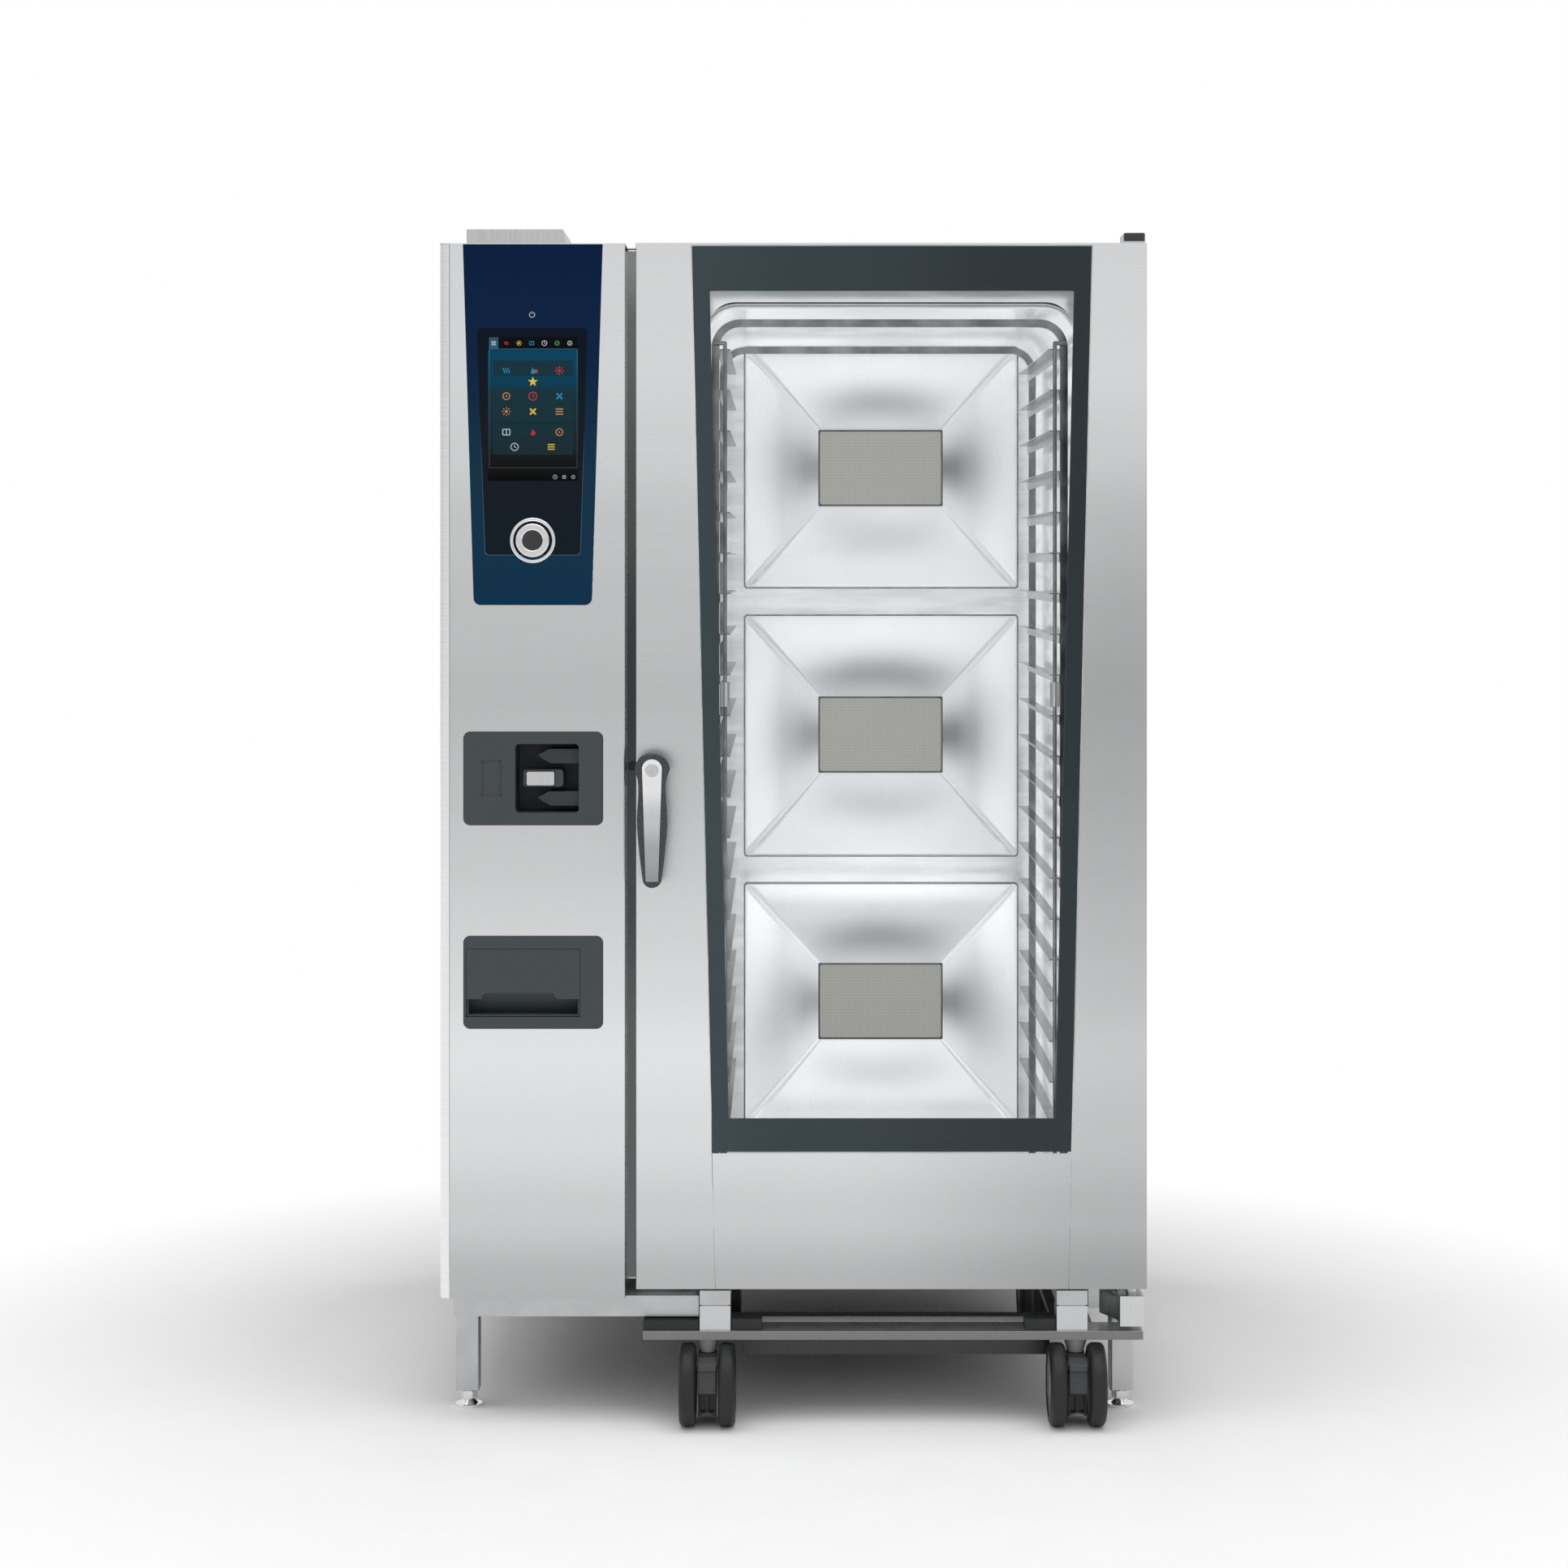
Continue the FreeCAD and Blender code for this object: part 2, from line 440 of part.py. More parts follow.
def cabinet_hinges():
    """Top and bottom hinge brackets on the cabinet and the cap over the top one."""
    z0 = CASING_TOP + 0.6
    bore = cylinder(8.0 + RUN, (HINGE_X, HINGE_Y, z0 - 5), (0, 0, 1), 30)
    plate = box(HINGE_X - 13, X_RIGHT - 0.5, HINGE_Y - 16, CABINET_FRONT + 60, z0, z0 + 4.0).cut(bore)
    block = box(HINGE_X - 20, X_RIGHT - 4, HINGE_Y - 30, CABINET_FRONT - 0.2, 149.0, 195.0)
    ramp = prism_z([(HINGE_X - 44, CABINET_FRONT - 0.2), (HINGE_X - 20, HINGE_Y - 6),
                    (HINGE_X - 20, CABINET_FRONT - 0.2)], 153.0, 192.0)
    block = fuse([block, ramp]).cut(cylinder(8.0 + RUN, (HINGE_X, HINGE_Y, 165.0), (0, 0, 1), 40))
    block = soften(block, 2.0, lambda e: runs_along(e, "z") and e.BoundBox.YMax < HINGE_Y - 29)
    add("hinge_brackets", plate, block)
    cap = rounded_z(HINGE_X - 12.5, X_RIGHT - 0.5, HINGE_Y - 18, HINGE_Y + 46, z0 + 4.1, z0 + 17.0, 5.0)
    cap = soften(cap, 2.5, lambda e: e.BoundBox.ZMin > z0 + 16.9)
    add("hinge_cap", cap.cut(cylinder(9.5, (HINGE_X, HINGE_Y, z0), (0, 0, 1), 12.0)))


# ---------------------------------------------------------------- door
def door_tray():
    """Outer skin as a folded tray, open at the back, with the window cut through."""
    y0, y1 = Y_FRONT, DOOR_BACK - 2.2
    x0, x1, z0, z1 = DOOR_LEFT, X_RIGHT, DOOR_BOTTOM, CASING_TOP
    outer = rounded_z(x0, x1, y0, y1 + 8, z0, z1, 3.0).common(box(x0, x1, y0, y1, z0, z1))
    inner = box(x0 + SHEET, x1 - SHEET, y0 + SHEET, y1 + 5, z0 + SHEET, z1 - SHEET)
    tray = outer.cut(inner)
    gap = 0.8
    pane = trapezoid(CAVITY_X, PANE_HALF_FOOT + gap, PANE_HALF_TOP + gap, PANE_FOOT - gap, PANE_TOP + gap)
    window = prism_y(pane, y0 - 5, y0 + 5)
    pins = [cylinder(8.0 + RUN, (HINGE_X, HINGE_Y, z), (0, 0, 1), 20) for z in (z0 - 5, z1 - 10)]
    slot = box(x0 - 5, x0 + 5, LATCH_Y - 6, LATCH_Y + 6, LATCH_Z - 48, LATCH_Z + 48)
    spindle = cylinder(12.0, (LATCH_X, y0 - 5, LATCH_Z), (0, 1, 0), 10)
    return cut(tray, [window, slot, spindle] + pins)


def door_skin():
    """The tray is welded up from a left, a right and a bottom sheet with fine seams between them."""
    tray = door_tray()
    seam = 0.7
    parts = []
    for side in (-1, 1):
        top_x = CAVITY_X + side * (PANE_HALF_FOOT + 0.2)
        foot_x = CAVITY_X + side * (PANE_HALF_FOOT - 5.0)
        parts.append(prism_y([(top_x - seam / 2, PANE_FOOT + 1), (top_x + seam / 2, PANE_FOOT + 1),
                              (foot_x + seam / 2, DOOR_BOTTOM - 3), (foot_x - seam / 2, DOOR_BOTTOM - 3)],
                             Y_FRONT - 5, DOOR_BACK + 5))
    split = box(CAVITY_X - seam / 2, CAVITY_X + seam / 2, Y_FRONT - 5, DOOR_BACK + 5,
                CASING_TOP - 30, CASING_TOP + 5)
    add("door_skin", cut(tray, parts + [split]))


def door_glazing():
    y0 = Y_FRONT + 0.2
    pane = prism_y(trapezoid(CAVITY_X, PANE_HALF_FOOT, PANE_HALF_TOP, PANE_FOOT, PANE_TOP), y0, y0 + 5.0)
    add("outer_glass", pane)
    inner = rounded_y(CAVITY_X - 296, CAVITY_X + 296, DOOR_BACK - 8.0, DOOR_BACK - 3.0, 304.0, 1752.0, 20.0)
    add("inner_glass", inner)


def door_inside():
    """Back sheet welded to the channel that spaces the two panes, and the hinge fittings."""
    x0, x1, z0, z1 = DOOR_LEFT + 2, X_RIGHT - 2, DOOR_BOTTOM + 2, CASING_TOP - 2
    back = box(x0, x1, DOOR_BACK - 2.0, DOOR_BACK, z0, z1)
    window = rounded_y(CAVITY_X - 284, CAVITY_X + 284, DOOR_BACK - 5, DOOR_BACK + 5, 330.0, 1722.0, 44.0)
    y0 = Y_FRONT + 6.6
    outer = prism_y(trapezoid(CAVITY_X, 299.0, 303.5, 300.0, 1790.0), y0, DOOR_BACK - 1.0)
    inner = prism_y(trapezoid(CAVITY_X, 297.0, 301.5, 302.0, 1788.0), y0 - 5, DOOR_BACK - 2.0)
    channel = outer.cut(inner).cut(box(-400, 600, y0 - 1, y0 + 3, 290, PANE_FOOT + 0.5))
    spindle = cylinder(12.0, (LATCH_X, DOOR_BACK - 10, LATCH_Z), (0, 1, 0), 20)
    add("door_inner_frame", cut(fuse([back, channel]), [window, spindle]))

    fittings = []
    for low, high, pin_low, pin_high in ((CASING_TOP - 40, CASING_TOP - 2, CASING_TOP - 24, CASING_TOP + 12),
                                         (DOOR_BOTTOM + 2, DOOR_BOTTOM + 50, 170.0, DOOR_BOTTOM + 30)):
        block = box(HINGE_X - 24, X_RIGHT - 2.0, HINGE_Y - 20, HINGE_Y + 20, low, high)
        pin = cylinder(8.0, (HINGE_X, HINGE_Y, pin_low), (0, 0, 1), pin_high - pin_low)
        fittings.append(fuse([block, pin]))
    add("hinge_fittings", *fittings)


def door_handle():
    """Lever handle: dark grip, bright face plate, screw, and the spindle that carries the latch tongue."""
    y_door, y_out = Y_FRONT - 0.3, -DEPTH / 2

    def outline(y, grow):
        """Half-widths down the grip: boss, waist, belly, tip. Spline sides, round boss at the top."""
        levels = [(0.0, 26.5), (-30.0, 20.5), (-55.0, 22.0), (-80.0, 23.0), (-110.0, 21.0),
                  (-150.0, 16.5), (-168.0, 14.0)]
        right = [V(LATCH_X + w + grow, y, LATCH_Z + dz) for dz, w in levels]
        left = [V(LATCH_X - w - grow, y, LATCH_Z + dz) for dz, w in reversed(levels)]
        spline_r, spline_l = Part.BSplineCurve(), Part.BSplineCurve()
        spline_r.interpolate(right)
        spline_l.interpolate(left)
        foot = Part.Arc(right[-1], V(LATCH_X, y, LATCH_Z - 178.0 - grow), left[0]).toShape()
        head = Part.Arc(left[-1], V(LATCH_X, y, LATCH_Z + 26.5 + grow), right[0]).toShape()
        return Part.Wire([spline_r.toShape(), foot, spline_l.toShape(), head])

    grip = Part.Face(outline(y_out + 4, 0.0)).extrude(V(0, 26.0, 0))
    grip = grip.makeFillet(4.0, [e for e in grip.Edges if e.BoundBox.YMax < y_out + 4.1])
    boss = cylinder(25.0, (LATCH_X, y_out + 24, LATCH_Z), (0, 1, 0), y_door - y_out - 24)
    plate_cut = handle_plate(y_out, 0.2)
    spindle_hole = cylinder(8.0, (LATCH_X, y_out, LATCH_Z), (0, 1, 0), 80)
    add("handle_grip", cut(fuse([grip, boss]), [plate_cut, spindle_hole]))
    plate = handle_plate(y_out + 2.0, 0.0).cut(cylinder(9.8, (LATCH_X, y_out - 1, LATCH_Z), (0, 1, 0), 20))
    add("handle_plate", plate)
    head = cylinder(9.5, (LATCH_X, y_out + 0.0, LATCH_Z), (0, 1, 0), 5.6)
    head = soften(head, 0.8, lambda e: e.BoundBox.YMax < y_out + 0.1)
    socket = prism_y([(LATCH_X + 4.6 * math.cos(a), LATCH_Z + 4.6 * math.sin(a))
                      for a in (math.radians(60 * i) for i in range(6))], y_out - 1, y_out + 3.5)
    add("handle_screw", head.cut(socket))
    shaft = cylinder(7.9, (LATCH_X, y_out + 5.8, LATCH_Z), (0, 1, 0), LATCH_Y + 5.0 - y_out - 5.8)
    tongue = box(LATCH_X - 41.0, LATCH_X + 8, LATCH_Y - 4.0, LATCH_Y + 4.0, LATCH_Z - 7, LATCH_Z + 7)
    tongue = soften(tongue, 5.0, lambda e: runs_along(e, "y") and e.BoundBox.XMax < LATCH_X - 40)
    add("latch_spindle", fuse([shaft, tongue]))


def handle_plate(y_front, grow):
    """Tapered bright insert in the front of the grip, with a round head."""
    top, foot = 15.0 + grow, 9.5 + grow
    z_top, z_foot = LATCH_Z + 4, LATCH_Z - 168 - grow
    top_l, top_r = V(LATCH_X - top, y_front, z_top), V(LATCH_X + top, y_front, z_top)
    foot_l, foot_r = V(LATCH_X - foot, y_front, z_foot), V(LATCH_X + foot, y_front, z_foot)
    head = Part.Arc(top_l, V(LATCH_X, y_front, LATCH_Z + 17 + grow), top_r).toShape()
    sides = [Part.makeLine(top_r, foot_r), Part.makeLine(foot_r, foot_l), Part.makeLine(foot_l, top_l)]
    return Part.Face(Part.Wire([head] + sides)).extrude(V(0, 3.6 + (3.4 if grow else 0), 0))


# ---------------------------------------------------------------- chamber fittings
def air_baffles():
    """Baffles in front of the fans: each funnels back to a punched intake, pressed from one sheet."""
    depth, rim = 34.0, 10.0
    columns, rows = 12, 7

    def rectangle(half_w, half_h, y, z_mid):
        pts = [(-half_w, -half_h), (half_w, -half_h), (half_w, half_h), (-half_w, half_h), (-half_w, -half_h)]
        return Part.makePolygon([V(BAFFLE_X + a, y, z_mid + b) for a, b in pts])

    def pyramid(grow, y_front, y_back, z_mid):
        wide = rectangle(PANEL_W / 2 - rim + grow, PANEL_H / 2 - rim + grow, y_front, z_mid)
        narrow = rectangle(GRILLE_W / 2 + grow, GRILLE_H / 2 + grow, y_back, z_mid)
        return Part.makeLoft([wide, narrow], True, True)

    sheets = []
    for z_mid in FAN_Z:
        edge = (BAFFLE_X - PANEL_W / 2, BAFFLE_X + PANEL_W / 2, z_mid - PANEL_H / 2, z_mid + PANEL_H / 2)
        pan = rounded_y(edge[0], edge[1], BAFFLE_Y, BAFFLE_Y + 18.0, edge[2], edge[3], 10.0)
        pan = pan.cut(box(edge[0] + 2, edge[1] - 2, BAFFLE_Y + 2, BAFFLE_Y + 60, edge[2] + 2, edge[3] - 2))
        funnel = pyramid(2.5, BAFFLE_Y, BAFFLE_Y + depth + 2, z_mid)
        hollow = pyramid(0.0, BAFFLE_Y - 0.5, BAFFLE_Y + depth, z_mid)
        holes = []
        for i in range(columns):
            for j in range(rows):
                x = BAFFLE_X + ((i + 0.5) / columns - 0.5) * GRILLE_W
                z = z_mid + ((j + 0.5) / rows - 0.5) * GRILLE_H
                holes.append(box(x - 7.4, x + 7.4, BAFFLE_Y + depth - 5, BAFFLE_Y + depth + 5,
                                 z - 7.6, z + 7.6))
        sheets.append(cut(fuse([pan, funnel]), [hollow] + holes))
    add("air_baffles", *sheets)


def fans():
    """Radial fan wheels on the motors' shafts, each inside its heating coil."""
    motors, coils = [], []
    blade_count = 14
    y0, y1 = BAFFLE_Y + 46.0, CAVITY_BACK - 12.0
    for name, z in zip(("top", "middle", "bottom"), FAN_Z):
        disc = cylinder(FAN_R, (BAFFLE_X, y1 - 2.5, z), (0, 1, 0), 2.5)
        hub = cylinder(22.0, (BAFFLE_X, y1 - 34, z), (0, 1, 0), 34)
        front = cylinder(FAN_R, (BAFFLE_X, y0, z), (0, 1, 0), 2.0)
        front = front.cut(cylinder(FAN_R - 35, (BAFFLE_X, y0 - 5, z), (0, 1, 0), 20))
        blades = []
        for i in range(blade_count):
            blade = box(FAN_R - 38, FAN_R - 4, y0 + 1, y1 - 1, -1.0, 1.0)
            blade.rotate(V(FAN_R - 20, 0, 0), V(0, 1, 0), 25)
            blade.rotate(V(0, 0, 0), V(0, 1, 0), 360.0 * i / blade_count)
            blade.translate(V(BAFFLE_X, 0, z))
            blades.append(blade)
        shaft = cylinder(9.0, (BAFFLE_X, y1 - 30, z), (0, 1, 0), 80.0)
        add(f"fan_wheel_{name}", fuse([disc, hub, front, shaft] + blades))
        motor = cylinder(62.0, (BAFFLE_X, CAVITY_BACK + 6.0, z), (0, 1, 0), 98.0)
        motors.append(motor.cut(cylinder(9.0 + RUN, (BAFFLE_X, CAVITY_BACK, z), (0, 1, 0), 60.0)))
        for turn in range(3):
            coils.append(Part.makeTorus(FAN_R + 19, 5.5, V(BAFFLE_X, y0 + 10 + turn * 17.0, z), V(0, 1, 0)))
    add("fan_motors", *motors)
    add("heating_coils", *coils)


# ---------------------------------------------------------------- technical compartment
def utilities():
    """Steam generator with its pipe into the chamber, water inlets and drain pipes."""
    tank = rounded_z(-500.0, -290.0, 60.0, 300.0, 240.0, 760.0, 25.0)
    tank = tank.cut(rounded_z(-497.0, -293.0, 63.0, 297.0, 243.0, 757.0, 22.0))
    stub = cylinder(11.0, (-322.0, 200.0, 759.0), (0, 0, 1), 9.0)
    joint = cylinder(11.0, (-322.0, 200.0, 768.0), (1, 0, 0), 30.0)
    line = cylinder(11.0, (-292.0, 200.0, 768.0), (0, 1, 0), 160.0)
    run = cylinder(11.0, (-292.0, 360.0, 768.0), (1, 0, 0), CAVITY_LEFT + 292.0 - 2.5)
    turns = ((-322.0, 200.0), (-292.0, 200.0), (-292.0, 360.0))
    bends = [Part.makeSphere(11.0, V(x, y, 768.0)) for x, y in turns]
    add("steam_generator", fuse([tank, stub, joint, line, run] + bends))
    valves = []
    for x in INLET_X:
        body = box(x - 22, x + 22, CASING_BACK - 90, CASING_BACK - 12, 235.0, 300.0)
        collar = cylinder(15.5, (x, CASING_BACK - 14, 260.0), (0, 1, 0), 14.5)
        spout = cylinder(13.2, (x, CASING_BACK, 260.0), (0, 1, 0), Y_BACK - CASING_BACK)
        valves.append(fuse([body, collar, spout]))
    add("water_inlets", *valves)
    floor_drain = cylinder(25.0, (CAVITY_X, 60.0, 198.0), (0, 0, 1), CAVITY_FLOOR - 198.0)
    floor_drain = floor_drain.cut(cylinder(22.0, (CAVITY_X, 60.0, 190.0), (0, 0, 1), 50.0))
    outlet = fuse([cylinder(27.5, (DRAIN_X, CASING_BACK - 40.0, DRAIN_Z), (0, 1, 0), 40.5),
                   cylinder(25.0, (DRAIN_X, CASING_BACK, DRAIN_Z), (0, 1, 0), Y_BACK - CASING_BACK)])
    outlet = outlet.cut(cylinder(22.0, (DRAIN_X, CASING_BACK - 37.0, DRAIN_Z), (0, 1, 0), 80.0))
    add("drain_pipes", floor_drain, outlet)


# ---------------------------------------------------------------- mobile oven rack
def rack_ladders():
    """Square bar bent into two hoops; angle rails between the hoops carry the containers."""
    hoops, rails = [], []
    x0, x1 = CAVITY_X - LADDER_X - 6, CAVITY_X + LADDER_X + 6
    for y0 in (RACK_FRONT + 4.0, RACK_BACK - 16.0):
        outer = rounded_y(x0, x1, y0, y0 + 12.0, 150.0, HOOP_TOP, 45.0)
        inner = rounded_y(x0 + 12.0, x1 - 12.0, y0 - 1, y0 + 13.0, 100.0, HOOP_TOP - 12.0, 33.0)
        hoops.append(outer.cut(inner).common(box(x0, x1, y0, y0 + 12.0, 268.1, HOOP_TOP)))
    add("rack_hoops", *hoops)
    ledge, web, t = 17.0, 15.0, 1.5
    for side in (-1, 1):
        outer = CAVITY_X + side * (LADDER_X - 6.1)
        for level in range(LEVELS):
            z = FIRST_LEVEL + level * LEVEL_PITCH
            a, b = sorted((outer, outer - side * ledge))
            c, d = sorted((outer, outer - side * t))
            shelf = box(a, b, RACK_FRONT + 2, RACK_BACK - 2, z - t, z)
            rails.append(fuse([shelf, box(c, d, RACK_FRONT + 2, RACK_BACK - 2, z - web, z)]))
    add("rack_rails", *rails)


def rack_frame():
    """Bottom frame with its drip pan, feet and the two arms that reach out under the door."""
    x0, x1 = CAVITY_X - LADDER_X - 6, CAVITY_X + LADDER_X + 6
    tray = box(x0, x1, RACK_FRONT, RACK_BACK, 252.0, 268.0)
    tray = tray.cut(box(x0 + 20, x1 - 20, RACK_FRONT + 20, RACK_BACK - 20, 254.0, 280.0))
    feet = [box(x - 20, x + 20, ARM_BACK - 30, ARM_BACK, 203.0, 253.0) for x in ARM_X]
    arms = [box(x - 23.5, x + 23.5, Y_FRONT + 6.0, ARM_BACK, 182.2, 204.0) for x in ARM_X]
    add("rack_frame", fuse([tray] + feet + arms))


def retaining_bars():
    """Thin upright bars in front of the rails that keep the containers from sliding out."""
    bars = []
    radius, reach = 3.2, 8.9
    for side in (-1, 1):
        x, y = CAVITY_X + side * (LADDER_X - 15.0), RACK_FRONT - 5.0
        post = x + side * 15.0
        parts = [cylinder(radius, (x, y, 276.0), (0, 0, 1), 1384.0)]
        for z in (276.0, 1660.0):
            parts.append(cylinder(radius, (x, y, z), (side, 0, 0), 15.0))
            parts.append(cylinder(radius, (post, y, z), (0, 1, 0), reach))
            parts.append(Part.makeSphere(radius, V(x, y, z)))
            parts.append(Part.makeSphere(radius, V(post, y, z)))
        bars.append(fuse(parts))
    add("retaining_bars", *bars)


def rack_base():
    """Wheeled base that rolls in under the chamber: front bar, side runners and cross members."""
    z0, z1 = 130.0, 143.0
    bar = box(CAVITY_X - 381.0, CAVITY_X + 384.0, Y_FRONT + 0.5, Y_FRONT + 62.0, z0, z1)
    bar = bar.cut(box(-1000, 1000, Y_FRONT + 3.0, Y_FRONT + 59.5, z0 - 1, z1 - 2.0))
    runners = [box(x - 30, x + 30, Y_FRONT + 3.0, 205.0, z0 + 0.5, z1 - 2.0) for x in CASTER_X]
    cross = [box(CASTER_X[0] + 30, CASTER_X[1] - 30, y, y + 30, z0 + 0.5, z1 - 2.0) for y in (-388.0, 165.0)]
    skirt = box(CAVITY_X - 232.0, CAVITY_X + 250.0, -388.0, -385.0, 82.0, z0 + 2)
    posts = [box(x - 23.5, x + 23.5, Y_FRONT + 6.0, Y_FRONT + 53.0, z1 - 1, 180.4) for x in ARM_X]
    posts += [box(x - 20.5, x + 20.5, Y_FRONT + 9.0, Y_FRONT + 50.0, 179.0, 182.1) for x in ARM_X]
    body = fuse([bar] + runners + cross + [skirt] + posts)
    stems = [cylinder(6.0, (x, y, z0 - 5), (0, 0, 1), 20) for x in CASTER_X for y in CASTER_Y]
    add("rack_base", cut(body, stems))
    pads = []
    for x0, x1, top in ((ARM_X[0] - 110.0, ARM_X[0] - 24.5, 157.0), (ARM_X[0] + 24.5, ARM_X[0] + 72.0, 160.0),
                        (ARM_X[1] - 72.0, ARM_X[1] - 24.5, 160.0)):
        pads.append(box(x0, x1, Y_FRONT + 8.0, Y_FRONT + 46.0, z1 + 0.1, top))
    add("bumper_pads", *[soften(p, 2.0, lambda e: runs_along(e, "z")) for p in pads])


def casters():
    """Twin-wheel casters: swivel fork with a stem, wheel pair on one axle, brake pedal on the front two."""
    corner = (("front_left", 0, 0), ("front_right", 1, 0), ("rear_left", 0, 1), ("rear_right", 1, 1))
    for name, i, j in corner:
        x, y = CASTER_X[i], CASTER_Y[j]
        wheel_y = y - TRAIL
        hub_half = 17.0
        stem = cylinder(5.9, (x, y, 122.0), (0, 0, 1), 20.0)
        swivel = Part.makeCone(12.0, 18.5, 22.5, V(x, y, 107.0), V(0, 0, 1))
        body = prism_x([(y - 36, 15), (y - 6, 15), (y + 18, 84), (y + 18, 101), (y + 10, 108), (y - 18, 108),
                        (y - 32, 103), (y - 42, 93), (y - 42, 60)], x - 14, x + 14)
        body = body.cut(cylinder(20.0, (x, y - 60, 2.0), (0, 1, 0), 120))
        recesses = ((-11.0, -2.5), (2.5, 11.0))
        body = cut(body, [box(x + a, x + b, y - 50, y - 31, 24.0, 52.0) for a, b in recesses])
        body = fuse([stem, swivel, body]).cut(cylinder(6.0 + RUN, (x - 60, wheel_y, WHEEL_R), (1, 0, 0), 120))
        if j == 0:
            body = body.cut(cylinder(2.5 + RUN, (x - 60, y + PEDAL_PIN[0], PEDAL_PIN[1]), (1, 0, 0), 120))
        add(f"caster_fork_{name}", body)
        wheels = []
        for side in (-1, 1):
            start = x + side * hub_half if side > 0 else x - 43.0
            tyre = cylinder(WHEEL_R, (start, wheel_y, WHEEL_R), (1, 0, 0), 26.0)
            tyre = tyre.makeFillet(5.0, tyre.Edges[0:1] + tyre.Edges[2:3])
            dish_x = x + side * 43.0
            dish = cylinder(46.0, (dish_x - (0 if side < 0 else 3.0), wheel_y, WHEEL_R), (1, 0, 0), 3.0)
            wheels.append(tyre.cut(dish))
        axle = cylinder(6.0, (x - 41.0, wheel_y, WHEEL_R), (1, 0, 0), 82.0)
        add(f"caster_wheels_{name}", fuse(wheels + [axle]))
    for name, x in zip(("left", "right"), CASTER_X):
        y = CASTER_Y[0]
        pin_y, pin_z = y + PEDAL_PIN[0], PEDAL_PIN[1]
        profile = [(y - 43.2, 57), (y - 43.2, 94), (y - 33, 104.2), (y - 36, 107), (y - 57, 100),
                   (y - 59, 91), (y - 55, 89), (y - 62, 58), (y - 57, 55)]
        pedal = soften(prism_x(profile, x - 14.0, x + 14.0), 1.2, lambda e: e.BoundBox.YMax < y - 50)
        parts = [pedal, cylinder(2.5, (x - 16.4, pin_y, pin_z), (1, 0, 0), 32.8)]
        for side in (-1, 1):
            x0 = min(x + side * 14.15, x + side * 16.4)
            ear = prism_x([(y - 47, 91), (pin_y - 2, pin_z - 5), (pin_y + 5, pin_z - 2),
                           (pin_y + 3, pin_z + 5), (y - 47, 103)], x0, x0 + 2.25)
            a, b = sorted((x + side * 12.0, x + side * 16.4))
            parts += [ear, box(a, b, y - 48, y - 44, 91.5, 102.5)]
        add(f"brake_pedal_{name}", fuse(parts))


def build():
    steps = (base_frame, legs_and_feet, casing_panels, vent_stack, front_cover, control_panel, shower_module,
             care_module, door_gasket, cooking_chamber, insulation, cabinet_hinges, door_skin, door_glazing,
             door_inside, door_handle, air_baffles, fans, utilities, rack_ladders, rack_frame, retaining_bars,
             rack_base, casters)
    for make in steps:
        make()


build()
os.makedirs("parts", exist_ok=True)
for node, shape in NODES.items():
    shape.exportStep(f"parts/{node}.step")
print(len(NODES), "nodes,", sum(len(shape.Solids) for shape in NODES.values()), "solids")
for node, shape in NODES.items():
    if not shape.isValid():
        print("not valid:", node)
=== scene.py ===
"""Looks for the combi steamer oven: finer meshes, procedural materials, light and camera.

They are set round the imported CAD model.

Row frame in metres: the door faces -Y, +Z is up, and the origin is on the floor under the middle of the oven.
"""
import math

import bpy
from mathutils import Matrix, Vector


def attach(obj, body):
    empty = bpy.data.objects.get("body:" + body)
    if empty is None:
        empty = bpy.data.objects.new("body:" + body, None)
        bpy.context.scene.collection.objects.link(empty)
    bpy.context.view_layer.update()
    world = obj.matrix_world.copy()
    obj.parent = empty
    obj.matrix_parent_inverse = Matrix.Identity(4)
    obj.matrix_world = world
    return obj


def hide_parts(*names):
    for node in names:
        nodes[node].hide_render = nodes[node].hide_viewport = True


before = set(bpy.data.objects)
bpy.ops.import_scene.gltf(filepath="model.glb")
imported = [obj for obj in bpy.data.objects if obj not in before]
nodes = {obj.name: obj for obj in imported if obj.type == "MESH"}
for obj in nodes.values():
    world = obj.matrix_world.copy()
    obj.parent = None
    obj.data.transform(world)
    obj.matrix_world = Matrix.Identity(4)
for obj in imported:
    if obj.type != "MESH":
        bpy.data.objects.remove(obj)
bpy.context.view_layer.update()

FACE_Y = -0.4965                 # front face of door and compartment cover
GLASS_Y = FACE_Y - 0.0008        # front of the control glass
PANE_Y = FACE_Y + 0.0002         # front of the door's outer pane
STRIKE_Y = FACE_Y + 0.0641       # just in front of the latch strike
STRIKE_Z = (0.9730, 1.0350)      # foot and top of the strike's cover
LINING_Y = -0.4150               # face of the slot's dark lining
CENTRE_X = 0.151                 # middle of the door glass
BAFFLE_X = 0.158                 # middle of the baffles and fans
BAFFLE_Y = 0.300                 # front of the baffles
FAN_Z = (1.487, 1.012, 0.537)    # heights of the fans, top to bottom
CONTROL_X = -0.398               # middle of the control glass
CASTER_X = (-0.131, 0.433)
CASTER_Y = (-0.476, 0.170)
TRAIL = 0.020                    # the axle's distance in front of the swivel
WHEEL_R = 0.0625


# ---------------------------------------------------------------- materials
def material(name):
    mat = bpy.data.materials.new(name)
    mat.use_nodes = True
    tree = mat.node_tree
    tree.nodes.clear()
    out = tree.nodes.new("ShaderNodeOutputMaterial")
    return mat, tree, out


def add_node(tree, kind, **inputs):
    made = tree.nodes.new("ShaderNode" + kind)
    for key, value in inputs.items():
        made.inputs[key.replace("_", " ")].default_value = value
    return made


